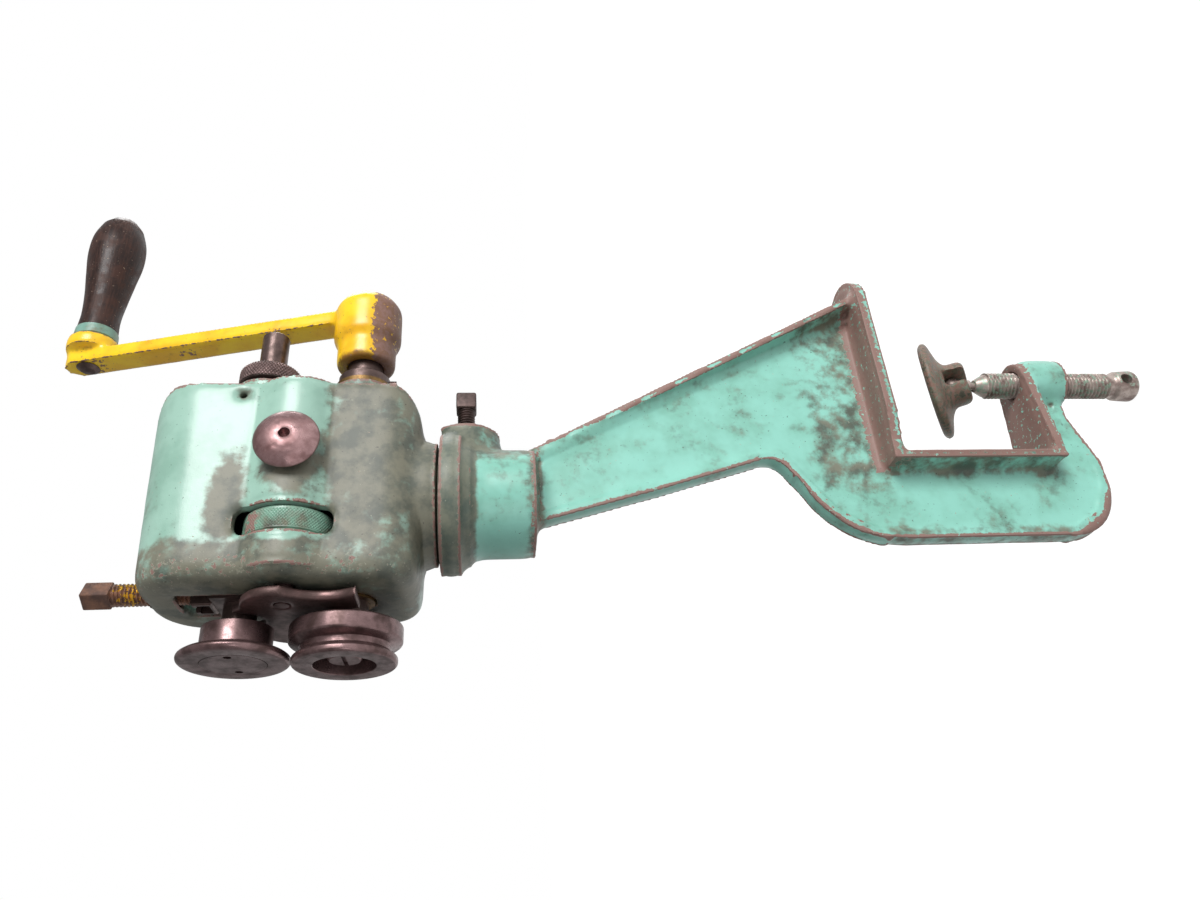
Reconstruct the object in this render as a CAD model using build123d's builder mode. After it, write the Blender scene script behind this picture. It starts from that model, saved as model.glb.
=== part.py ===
from build123d import *
import os
from math import acos, cos, pi, radians, sin, sqrt, tan

# Hand-cranked bead roller on a bench clamp standard. Millimetres.
# +Z up in use, -Y towards the rolls, +Y towards the crank, +X towards the gauge knob.
# The origin is on the bench face of the foot, on the axis of the clamp screw.

os.makedirs("parts", exist_ok=True)

# ---------------------------------------------------------------- driving dimensions
RUNNING_CLEARANCE = 0.06        # radial, a shaft in its bush
FREE_CLEARANCE = 0.4            # between pieces that only pass each other
SEAT_GAP = 0.3                  # between pieces of different bodies that bear on each other
THRUST_GAP = 0.1                # between end faces that turn on each other

# clamp standard
FOOT_THICKNESS = 8.0
FOOT_HALF_WIDTH = 25.0
FOOT_REAR = 73.0                # tip of the tongue-shaped foot
THROAT_Y = -56.0                # face of the clamp's spine that the bench edge meets
THROAT_OPENING = 89.0           # foot to jaw
WEB_THICKNESS = 8.0
WEB_BEND_RADIUS = 12.0
ARM_BEND_Z = 137.0              # where the arm's front edge bends
RIM_THICKNESS = 13.0            # bead round the edge of the web
RIM_WIDTH = 5.0
FLANGE_THICKNESS = 5.0
ARM_TOP_HALF_WIDTH = 7.0
THROAT_HALF_WIDTH = 21.0
JAW_HALF_WIDTH = 15.0
JAW_BOSS_RADIUS = 16.0
JAW_BOSS_LENGTH = 22.0
SPINE_DEPTH = 47.0              # throat face to the front of the clamp's spine
CLAMP_BOTTOM_Z = -126.0

# socket on top of the standard
SWIVEL_Y = -76.0
SOCKET_BOTTOM_Z = 205.0
SOCKET_HEIGHT = 50.0
SOCKET_RADIUS = 29.0
COLLAR_RADIUS = 37.5
COLLAR_HEIGHT = 12.0
TENON_RADIUS = 19.05
TENON_LENGTH = 44.0
SOCKET_SCREW_DROP = 13.5        # below the top of the collar
SOCKET_BOSS_RADIUS = 19.0
SOCKET_BOSS_REACH = 40.5        # from the swivel axis
SOCKET_SCREW_RADIUS = 4.76
SOCKET_SCREW_REAR = -8.0        # outer face of its square head
SOCKET_HEAD_SIZE = 11.1
SOCKET_HEAD_LENGTH = 10.0
SOCKET_PLUG_LENGTH = 4.0

# clamp screw and pad
CLAMP_SCREW_RADIUS = 7.94
CLAMP_NOSE_Z = -65.0
CLAMP_HEAD_Z = -152.0
CLAMP_HEAD_LENGTH = 19.0
CLAMP_HEAD_RADIUS = 9.6
TOMMY_HOLE_RADIUS = 3.5
BUTTON_RADIUS = 4.6             # ball at its upper end
BUTTON_SHANK_RADIUS = 3.7
BUTTON_NECK_RADIUS = 2.2
BUTTON_NECK_LENGTH = 3.0
BUTTON_PIN_DEPTH = 8.0          # neck pin inside the screw's nose
PAD_PIVOT_Z = -51.5
PAD_RADIUS = 31.0
PAD_RIM_THICKNESS = 7.5
PAD_FACE_RISE = 13.0            # pivot to the gripping face
PAD_BOSS_RADIUS = 13.5
PAD_TILT = 34.0                 # how far the pad hangs over at rest, towards -X
PAD_SOCKET_DEPTH = 9.5          # pivot to the mouth of the pad's socket

# head casting
SHAFT_SPACING = 50.8
LOWER_Z = 298.0
HEAD_LENGTH = 106.0
HEAD_HALF_WIDTH = 38.0
HEAD_WALL = 7.0
HEAD_BOTTOM_Z = 263.5
HEAD_TOP_Z = 399.0
HEAD_FRONT_DROP = 4.5           # fall of the top towards the front
HEAD_TOP_RADIUS = 27.0
HEAD_BOTTOM_RADIUS = 17.0
HEAD_REAR_RADIUS = 18.0
HEAD_EDGE_RADIUS = 8.0
CROWN_RISE = 5.0
CAVITY_MARGIN = 9.0
FRONT_WALL = 20.0
NECK_RADIUS = 33.0
SLOT_HALF_WIDTH = 13.0
SLOT_TOP_Z = 376.5
REAR_WALL = 10.0
REAR_BOSS_LENGTH = 17.0
REAR_BOSS_RADIUS = 17.5
OIL_HOLE_RADIUS = 2.4
OIL_HOLE_SETBACK = 2.5          # in front of the rear bearing's middle, and above the shaft's axis
COVER_LENGTH = 70.0             # side cover over the gears, on the -X side
COVER_HEIGHT = 86.0
COVER_THICKNESS = 3.5
COVER_LAP = 9.0
COVER_SCREW_RADIUS = 2.5
COVER_SCREW_HEAD_RADIUS = 4.5

# lower shaft
LOWER_SHAFT_RADIUS = 9.525
ROLL_SEAT_RADIUS = 7.94
BUSH_WALL = 3.0
LOWER_SHAFT_REAR = 54.0
SHAFT_COLLAR_RADIUS = 14.0
SHAFT_COLLAR_WIDTH = 6.0
COLLAR_SCREW_RADIUS = 2.4

# upper shaft, its sliding block and rear pivot bush
UPPER_SHAFT_RADIUS = 7.94
UPPER_ROD_RADIUS = 7.35
UPPER_SEAT_RADIUS = 6.35
UPPER_ROD_REAR = 32.0
BLOCK_HEIGHT_BELOW = 14.0
BLOCK_HEIGHT_ABOVE = 11.7
BLOCK_DEPTH = 20.0
CAP_HALF_WIDTH = 7.0
CAP_HEIGHT = 10.0
CAP_DEPTH = 15.0
CAP_LID = 2.4
PIVOT_Y = -28.0
PIVOT_SPHERE_RADIUS = 14.0
PIVOT_BARREL_RADIUS = 12.0
PIVOT_BAND = 4.5                # half the length of the ball band
SHOULDER_Y = 0.5                # where the upper shaft steps down to its rear rod
END_SHIFT = 0.6                 # travel of the upper shaft along its axis, each way
NUT_RADIUS = 16.5
NUT_REAR = 6.5
NUT_LENGTH = 10.0

# pressure screw
PRESSURE_SCREW_SETBACK = 7.5    # behind the front face
PRESSURE_SCREW_RADIUS = 5.56
PRESSURE_SCREW_TOP = 421.5
PRESSURE_SQUARE = 9.6
PRESSURE_SQUARE_LENGTH = 13.0
PRESSURE_SQUARE_TURN = 30.0
SCREW_BUTTON_RADIUS = 4.5
SCREW_BUTTON_LENGTH = 3.2
SCREW_NECK_RADIUS = 2.8
THRUST_PAD_THICKNESS = 1.4

# gears
GEAR_TEETH = 20
GEAR_PRESSURE_ANGLE = 20.0
GEAR_FRONT = -52.0
GEAR_WIDTH = 15.0
GEAR_BACKLASH = 0.7
GEAR_KEY = 5.0

# rolls
RING_BACK = -141.0
RING_FRONT = -149.5
RING_RADIUS = 26.8
GROOVE_RADIUS = 21.5
LOWER_FLANGE_RADIUS = 24.7
LOWER_FLANGE_WIDTH = 4.0
LOWER_ROLL_FRONT = -160.0
LOWER_RECESS_RADIUS = 14.7
LOWER_RECESS_DEPTH = 8.0
UPPER_ROLL_FRONT = -157.5
UPPER_DISC_RADIUS = 25.7
UPPER_DISC_WIDTH = 5.5
UPPER_HUB_RADIUS = 16.5
ROLL_HUB_BACK = -140.3
LOWER_HUB_RADIUS = 13.0
ROLL_SCREW_RADIUS = 4.0
ROLL_SCREW_HEAD_RADIUS = 8.0
ROLL_SCREW_HEAD = 4.0
ROLL_NUT_RADIUS = 15.0
ROLL_NUT_THICKNESS = 4.0
ROLL_NUT_HOLE_SPACING = 23.0

# gauge
STEM_X = 21.0
STEM_Z = 325.0
STEM_RADIUS = 4.4
GAUGE_PLATE_FRONT = -137.0
GAUGE_PLATE_THICKNESS = 5.0
GAUGE_LOBE_X = 16.0
GAUGE_LOBE_RADIUS = 20.0
GAUGE_TOP_RISE = 25.0           # above the stem's axis
GAUGE_TOP_HALF_WIDTH = 12.0
GAUGE_FOOT_DROP = 34.7          # below the stem's axis
GAUGE_FOOT_HALF_WIDTH = 33.0
GAUGE_SCALLOP_X = 53.3
GAUGE_SCALLOP_DROP = 19.7
GAUGE_SCALLOP_RADIUS = 25.2
GAUGE_SHAFT_ROOM = 4.0          # round the two shafts
WHEEL_Y = -101.0
WHEEL_RADIUS = 21.4
WHEEL_WIDTH = 12.0
GAUGE_BOSS_RADIUS = 24.0
GAUGE_BOSS_BLEND = 9.0          # hollow between the boss and the side of the head
STEM_REAR = -54.5
STEM_GUIDE_RADIUS = 12.0
KNOB_Y = -63.7
KNOB_RADIUS = 15.5
KNOB_HEIGHT = 8.5
KNOB_RIM = 2.5
KNOB_HOLE_DEPTH = 5.0
KNOB_SHANK_RADIUS = 4.75
KNOB_HOLE_RADIUS = 3.2
KNOB_GAP = 1.5                  # knob to the boss it stands on
SHOE_LENGTH = 4.0

# crank
CRANK_LEAN = 14.5               # degrees from upright, towards -X
CRANK_RADIUS = 175.5
CRANK_BAR_WIDTH = 15.9
CRANK_BAR_THICKNESS = 9.5
CRANK_BAR_FRONT = 41.6
CRANK_HUB_FRONT = 10.0
CRANK_BOSS_RADIUS = 16.3
CRANK_HEAD_RADIUS = 19.0
CRANK_HEAD_FRONT = 27.0
CRANK_HUB_REAR = 59.0
CRANK_TIP = 14.0                # bar beyond the grip's axis
GRIP_COLLAR_RADIUS = 14.5
GRIP_COLLAR_LENGTH = 9.0
GRIP_PIN_RADIUS = 4.75
FERRULE_LENGTH = 7.0
FERRULE_RADIUS = 12.4
GRIP_LENGTH = 93.0
GRIP_NECK_RADIUS = 11.0
GRIP_MAX_RADIUS = 16.2
GRIP_TIP_RADIUS = 12.5
GRIP_END_WALL = 10.0            # wood behind the pin's bore
GRIP_PIN_ROOM = 2.0             # between the pin's end and the bore's

# ---------------------------------------------------------------- worked-out places
UPPER_Z = LOWER_Z + SHAFT_SPACING
MID_Z = LOWER_Z + SHAFT_SPACING / 2
FRONT_Y = SWIVEL_Y - HEAD_LENGTH / 2
REAR_Y = SWIVEL_Y + HEAD_LENGTH / 2
CAVITY_FRONT = FRONT_Y + FRONT_WALL
CAVITY_REAR = REAR_Y - REAR_WALL
BOSS_REAR = REAR_Y + REAR_BOSS_LENGTH
SCREW_Y = FRONT_Y + PRESSURE_SCREW_SETBACK
COLLAR_TOP_Z = SOCKET_BOTTOM_Z + SOCKET_HEIGHT
SOCKET_SCREW_Z = COLLAR_TOP_Z - SOCKET_SCREW_DROP
JAW_Z = -THROAT_OPENING
SPINE_FRONT = THROAT_Y - SPINE_DEPTH
CAP_TOP_Z = UPPER_Z + BLOCK_HEIGHT_ABOVE + CAP_HEIGHT
GEAR_MODULE = SHAFT_SPACING / GEAR_TEETH
CRANK_BAR_REAR = CRANK_BAR_FRONT + CRANK_BAR_THICKNESS
COLLAR_REAR = CRANK_BAR_REAR + GRIP_COLLAR_LENGTH
GRIP_X = -CRANK_RADIUS * sin(radians(CRANK_LEAN))
GRIP_Z = LOWER_Z + CRANK_RADIUS * cos(radians(CRANK_LEAN))


def across(y, x=0.0, z=0.0):
    """A plane square to Y whose sketch x is +X and y is +Z; extruding goes towards the front, -Y."""
    return Plane(origin=(x, y, z), x_dir=(1, 0, 0), z_dir=(0, -1, 0))


def rod(radius, y_from, y_to, x=0.0, z=0.0, mode=Mode.ADD):
    """A round bar, or a bore, along Y in the part that is being built."""
    with BuildSketch(across(y_from, x, z)) as section:
        Circle(radius)
    extrude(section.sketch, amount=y_from - y_to, mode=mode)


def post(radius, z_from, z_to, x=0.0, y=0.0, mode=Mode.ADD):
    """A round bar, or a bore, along Z in the part that is being built."""
    with BuildSketch(Plane(origin=(x, y, z_from))) as section:
        Circle(radius)
    extrude(section.sketch, amount=z_to - z_from, mode=mode)


def turned_along_y(outline, z, x=0.0):
    """A turned piece on an axis along Y, from (y, radius) points."""
    with BuildSketch(Plane.YZ.offset(x)) as section:
        with BuildLine():
            Polyline(*[(y, z + radius) for y, radius in outline], close=True)
        make_face()
    revolve(section.sketch, axis=Axis((x, 0, z), (0, 1, 0)))


# ---------------------------------------------------------------- clamp standard (one casting)
web_outline = [
    (SWIVEL_Y + 27, SOCKET_BOTTOM_Z + 4),       # under the socket, rear side
    (SWIVEL_Y - 15, SOCKET_BOTTOM_Z + 4),       # under the socket, front side
    (-71, ARM_BEND_Z),                          # front edge of the arm
    (-51, 70),                                  # knee where the arm meets the clamp's spine
    (-70, 57),
    (-88, 44),
    (-101, 22),
    (SPINE_FRONT, 2),
    (SPINE_FRONT, CLAMP_BOTTOM_Z + 32),
    (SPINE_FRONT + 12, CLAMP_BOTTOM_Z + 11),
    (SPINE_FRONT + 33, CLAMP_BOTTOM_Z),
    (-57, CLAMP_BOTTOM_Z),
    (-26, JAW_Z - JAW_BOSS_LENGTH - 4),
    (-8, JAW_Z - JAW_BOSS_LENGTH - 4),
    (-8, JAW_Z - 3),
    (THROAT_Y - 3, JAW_Z - 3),
    (THROAT_Y - 3, 3),
    (48, 3),
    (48, 13),
]
arm_top = Vector(0, SWIVEL_Y + 27, SOCKET_BOTTOM_Z + 4)
arm_foot = Vector(0, 55, 3)
arm_run = arm_foot - arm_top
flange_plane = Plane(origin=arm_top, x_dir=(1, 0, 0), z_dir=arm_run.cross(Vector(1, 0, 0)))


def web_sketch():
    """The outline of the standard's web, rounded where it bends."""
    with BuildSketch(Plane.YZ) as outline:
        with BuildLine():
            Polyline(*web_outline, close=True)
        make_face()
        fillet(outline.vertices().filter_by(lambda v: v.X < THROAT_Y + 6 and v.Y < ARM_BEND_Z + 1),
               WEB_BEND_RADIUS)
    return outline.sketch_local


with BuildPart() as bench_standard:
    # web and its beaded rim
    with BuildSketch(Plane.YZ):
        add(web_sketch())
    extrude(amount=WEB_THICKNESS / 2, both=True)
    with BuildSketch(Plane.YZ):
        add(web_sketch())
        offset(amount=-RIM_WIDTH, mode=Mode.SUBTRACT)
    extrude(amount=RIM_THICKNESS / 2, both=True)
    # rear flange of the arm, narrow under the socket and as wide as the foot below
    with BuildSketch(flange_plane):
        with BuildLine():
            Polyline((-ARM_TOP_HALF_WIDTH, 0), (ARM_TOP_HALF_WIDTH, 0), (FOOT_HALF_WIDTH - 6, -arm_run.length),
                     (6 - FOOT_HALF_WIDTH, -arm_run.length), close=True)
        make_face()
    extrude(amount=FLANGE_THICKNESS / 2, both=True)
    # foot: a tongue that lies on the bench
    with BuildSketch(Plane.XY):
        with BuildLine():
            Polyline((-THROAT_HALF_WIDTH, THROAT_Y - FLANGE_THICKNESS), (-THROAT_HALF_WIDTH, THROAT_Y + 6),
                     (-FOOT_HALF_WIDTH, THROAT_Y + 28), (-FOOT_HALF_WIDTH, FOOT_REAR - FOOT_HALF_WIDTH))
            ThreePointArc((-FOOT_HALF_WIDTH, FOOT_REAR - FOOT_HALF_WIDTH), (0, FOOT_REAR),
                          (FOOT_HALF_WIDTH, FOOT_REAR - FOOT_HALF_WIDTH))
            Polyline((FOOT_HALF_WIDTH, FOOT_REAR - FOOT_HALF_WIDTH), (FOOT_HALF_WIDTH, THROAT_Y + 28),
                     (THROAT_HALF_WIDTH, THROAT_Y + 6), (THROAT_HALF_WIDTH, THROAT_Y - FLANGE_THICKNESS),
                     (-THROAT_HALF_WIDTH, THROAT_Y - FLANGE_THICKNESS))
        make_face()
    extrude(amount=FOOT_THICKNESS)
    # flange down the throat
    with BuildSketch(across(THROAT_Y, 0, 0)):
        with BuildLine():
            Polyline((-THROAT_HALF_WIDTH, 0), (THROAT_HALF_WIDTH, 0),
                     (THROAT_HALF_WIDTH, JAW_Z - FLANGE_THICKNESS),
                     (-THROAT_HALF_WIDTH, JAW_Z - FLANGE_THICKNESS), close=True)
        make_face()
    extrude(amount=FLANGE_THICKNESS)
    # jaw flange, tapering to the boss of the clamp screw
    with BuildSketch(Plane.XY.offset(JAW_Z)):
        with BuildLine():
            Polyline((-THROAT_HALF_WIDTH, THROAT_Y - FLANGE_THICKNESS),
                     (THROAT_HALF_WIDTH, THROAT_Y - FLANGE_THICKNESS), (THROAT_HALF_WIDTH, THROAT_Y + 6),
                     (JAW_HALF_WIDTH, 0), (-JAW_HALF_WIDTH, 0), (-THROAT_HALF_WIDTH, THROAT_Y + 6),
                     close=True)
        make_face()
        Circle(JAW_BOSS_RADIUS - 2)
    extrude(amount=-FLANGE_THICKNESS - 2)
    post(JAW_BOSS_RADIUS, JAW_Z - 7, JAW_Z - 7 - JAW_BOSS_LENGTH)
    post(CLAMP_SCREW_RADIUS + RUNNING_CLEARANCE, JAW_Z + 1, CLAMP_HEAD_Z, mode=Mode.SUBTRACT)
    # socket, collar and the boss of the socket screw
    post(SOCKET_RADIUS, SOCKET_BOTTOM_Z, COLLAR_TOP_Z, y=SWIVEL_Y)
    post(SOCKET_RADIUS + 4, COLLAR_TOP_Z - COLLAR_HEIGHT - 5, COLLAR_TOP_Z, y=SWIVEL_Y)
    post(COLLAR_RADIUS, COLLAR_TOP_Z - COLLAR_HEIGHT, COLLAR_TOP_Z, y=SWIVEL_Y)
    with BuildSketch(across(SWIVEL_Y, 0, SOCKET_SCREW_Z)):
        Circle(SOCKET_BOSS_RADIUS)
        with Locations((0, SOCKET_SCREW_DROP + SOCKET_BOSS_RADIUS / 2)):
            Rectangle(2 * SOCKET_BOSS_RADIUS, SOCKET_BOSS_RADIUS, mode=Mode.SUBTRACT)
    extrude(amount=-SOCKET_BOSS_REACH)
    post(TENON_RADIUS + RUNNING_CLEARANCE, COLLAR_TOP_Z, COLLAR_TOP_Z - TENON_LENGTH - 1,
         y=SWIVEL_Y, mode=Mode.SUBTRACT)
    rod(SOCKET_SCREW_RADIUS + RUNNING_CLEARANCE, SWIVEL_Y, SWIVEL_Y + SOCKET_BOSS_REACH + 1,
        z=SOCKET_SCREW_Z, mode=Mode.SUBTRACT)
bench_standard.part.label = "bench_standard"
export_step(bench_standard.part, "parts/bench_standard.step")

# ---------------------------------------------------------------- socket screw and its brass plug
plug_rear = SWIVEL_Y + TENON_RADIUS + SEAT_GAP + SOCKET_PLUG_LENGTH

with BuildPart() as socket_plug:
    rod(SOCKET_SCREW_RADIUS, SWIVEL_Y + TENON_RADIUS + SEAT_GAP, plug_rear,
        z=SOCKET_SCREW_Z)
socket_plug.part.label = "socket_plug"
export_step(socket_plug.part, "parts/socket_plug.step")

with BuildPart() as socket_screw:
    rod(SOCKET_SCREW_RADIUS, plug_rear + THRUST_GAP, SOCKET_SCREW_REAR - SOCKET_HEAD_LENGTH, z=SOCKET_SCREW_Z)
    with BuildSketch(across(SOCKET_SCREW_REAR, 0, SOCKET_SCREW_Z)):
        Rectangle(SOCKET_HEAD_SIZE, SOCKET_HEAD_SIZE)
    extrude(amount=SOCKET_HEAD_LENGTH)
    chamfer(socket_screw.faces().sort_by(Axis.Y)[-1].edges(), 1.2)
socket_screw.part.label = "socket_screw"
export_step(socket_screw.part, "parts/socket_screw.step")

# ---------------------------------------------------------------- clamp screw, swivel button and pad
with BuildPart() as swivel_button:
    with Locations((0, 0, PAD_PIVOT_Z)):
        Sphere(BUTTON_RADIUS)
    post(BUTTON_SHANK_RADIUS, PAD_PIVOT_Z, CLAMP_NOSE_Z + BUTTON_NECK_LENGTH)
    post(BUTTON_NECK_RADIUS, CLAMP_NOSE_Z + BUTTON_NECK_LENGTH, CLAMP_NOSE_Z - BUTTON_PIN_DEPTH)
swivel_button.part.label = "swivel_button"
export_step(swivel_button.part, "parts/swivel_button.step")

with BuildPart() as clamp_screw:
    with BuildSketch(Plane.XZ):
        with BuildLine():
            Polyline(
                (0, CLAMP_NOSE_Z),
                (BUTTON_NECK_RADIUS + 1.2, CLAMP_NOSE_Z),
                (CLAMP_SCREW_RADIUS, CLAMP_NOSE_Z - 7),
                (CLAMP_SCREW_RADIUS, CLAMP_HEAD_Z),
                (CLAMP_HEAD_RADIUS - 0.5, CLAMP_HEAD_Z - 5),
                (CLAMP_HEAD_RADIUS, CLAMP_HEAD_Z - CLAMP_HEAD_LENGTH + 2.5),
                (CLAMP_HEAD_RADIUS - 2.5, CLAMP_HEAD_Z - CLAMP_HEAD_LENGTH),
                (0, CLAMP_HEAD_Z - CLAMP_HEAD_LENGTH),
                close=True,
            )
        make_face()
    revolve(axis=Axis.Z)
    post(BUTTON_NECK_RADIUS + RUNNING_CLEARANCE, CLAMP_NOSE_Z + 1, CLAMP_NOSE_Z - BUTTON_PIN_DEPTH - 0.5,
         mode=Mode.SUBTRACT)
    with BuildSketch(Plane.YZ.offset(-CLAMP_HEAD_RADIUS - 1)):
        with Locations((0, CLAMP_HEAD_Z - CLAMP_HEAD_LENGTH / 2)):
            Circle(TOMMY_HOLE_RADIUS)
    extrude(amount=2 * CLAMP_HEAD_RADIUS + 2, mode=Mode.SUBTRACT)
clamp_screw.part.label = "clamp_screw"
export_step(clamp_screw.part, "parts/clamp_screw.step")

# the pad hangs over on the button's ball; its own axis is pad_plane's z
pad_plane = Plane(origin=(0, 0, PAD_PIVOT_Z), x_dir=(cos(radians(PAD_TILT)), 0, sin(radians(PAD_TILT))),
                  z_dir=(-sin(radians(PAD_TILT)), 0, cos(radians(PAD_TILT))))
pad_back = PAD_FACE_RISE - PAD_RIM_THICKNESS
ball_pocket = BUTTON_RADIUS + SEAT_GAP

with BuildPart() as clamp_pad:
    with BuildSketch(Plane(origin=pad_plane.origin, x_dir=pad_plane.x_dir, z_dir=-pad_plane.y_dir)) as half:
        with BuildLine():
            Polyline((0, PAD_FACE_RISE), (PAD_RADIUS - 3, PAD_FACE_RISE), (PAD_RADIUS, PAD_FACE_RISE - 2.5),
                     (PAD_RADIUS - 1, pad_back + 2), (PAD_BOSS_RADIUS + 5, pad_back - 1),
                     (PAD_BOSS_RADIUS, pad_back - 4), (PAD_BOSS_RADIUS, -PAD_SOCKET_DEPTH),
                     (0, -PAD_SOCKET_DEPTH), close=True)
        make_face()
        fillet(half.vertices().sort_by(Axis.Y)[:2].sort_by(Axis.X)[-1], 3.5)
    revolve(axis=Axis(pad_plane.origin, pad_plane.z_dir))
    # round pocket for the ball, open at one side, and the wider way of the shank below it
    with BuildSketch(Plane(origin=pad_plane.origin, x_dir=pad_plane.y_dir, z_dir=pad_plane.x_dir)) as pocket:
        Circle(ball_pocket)
    extrude(pocket.sketch, amount=PAD_BOSS_RADIUS + 1, mode=Mode.SUBTRACT)
    with Locations((0, 0, PAD_PIVOT_Z)):
        Sphere(ball_pocket, mode=Mode.SUBTRACT)
    with BuildSketch(pad_plane):
        SlotCenterToCenter(2 * PAD_BOSS_RADIUS, 2 * (BUTTON_SHANK_RADIUS + FREE_CLEARANCE))
    extrude(amount=-PAD_SOCKET_DEPTH - 1, mode=Mode.SUBTRACT)
clamp_pad.part.label = "clamp_pad"
export_step(clamp_pad.part, "parts/clamp_pad.step")

# ---------------------------------------------------------------- head casting
cavity_half = HEAD_HALF_WIDTH - HEAD_WALL
cavity_bottom = LOWER_Z - GEAR_MODULE * (GEAR_TEETH / 2 + 1) - 1
cavity_top = HEAD_TOP_Z - CAVITY_MARGIN
guide_rear = GEAR_FRONT - 2
cover_centre = ((CAVITY_FRONT + CAVITY_REAR) / 2, MID_Z - 4)
wheel_slot = WHEEL_RADIUS + 2 * FREE_CLEARANCE
slot_bottom = UPPER_Z - BLOCK_HEIGHT_BELOW - 2


def head_outline(y, top):
    """The head's rounded outline with its crowned top, square to the shafts at y."""
    with BuildSketch(across(y)) as outline:
        with BuildLine():
            Polyline((-HEAD_HALF_WIDTH, top - CROWN_RISE), (-HEAD_HALF_WIDTH, HEAD_BOTTOM_Z),
                     (HEAD_HALF_WIDTH, HEAD_BOTTOM_Z), (HEAD_HALF_WIDTH, top - CROWN_RISE))
            ThreePointArc((HEAD_HALF_WIDTH, top - CROWN_RISE), (0, top), (-HEAD_HALF_WIDTH, top - CROWN_RISE))
        make_face()
        fillet(outline.vertices().group_by(Axis.Y)[-1], HEAD_TOP_RADIUS)
        fillet(outline.vertices().group_by(Axis.Y)[0], HEAD_BOTTOM_RADIUS)
    return outline.sketch


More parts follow.
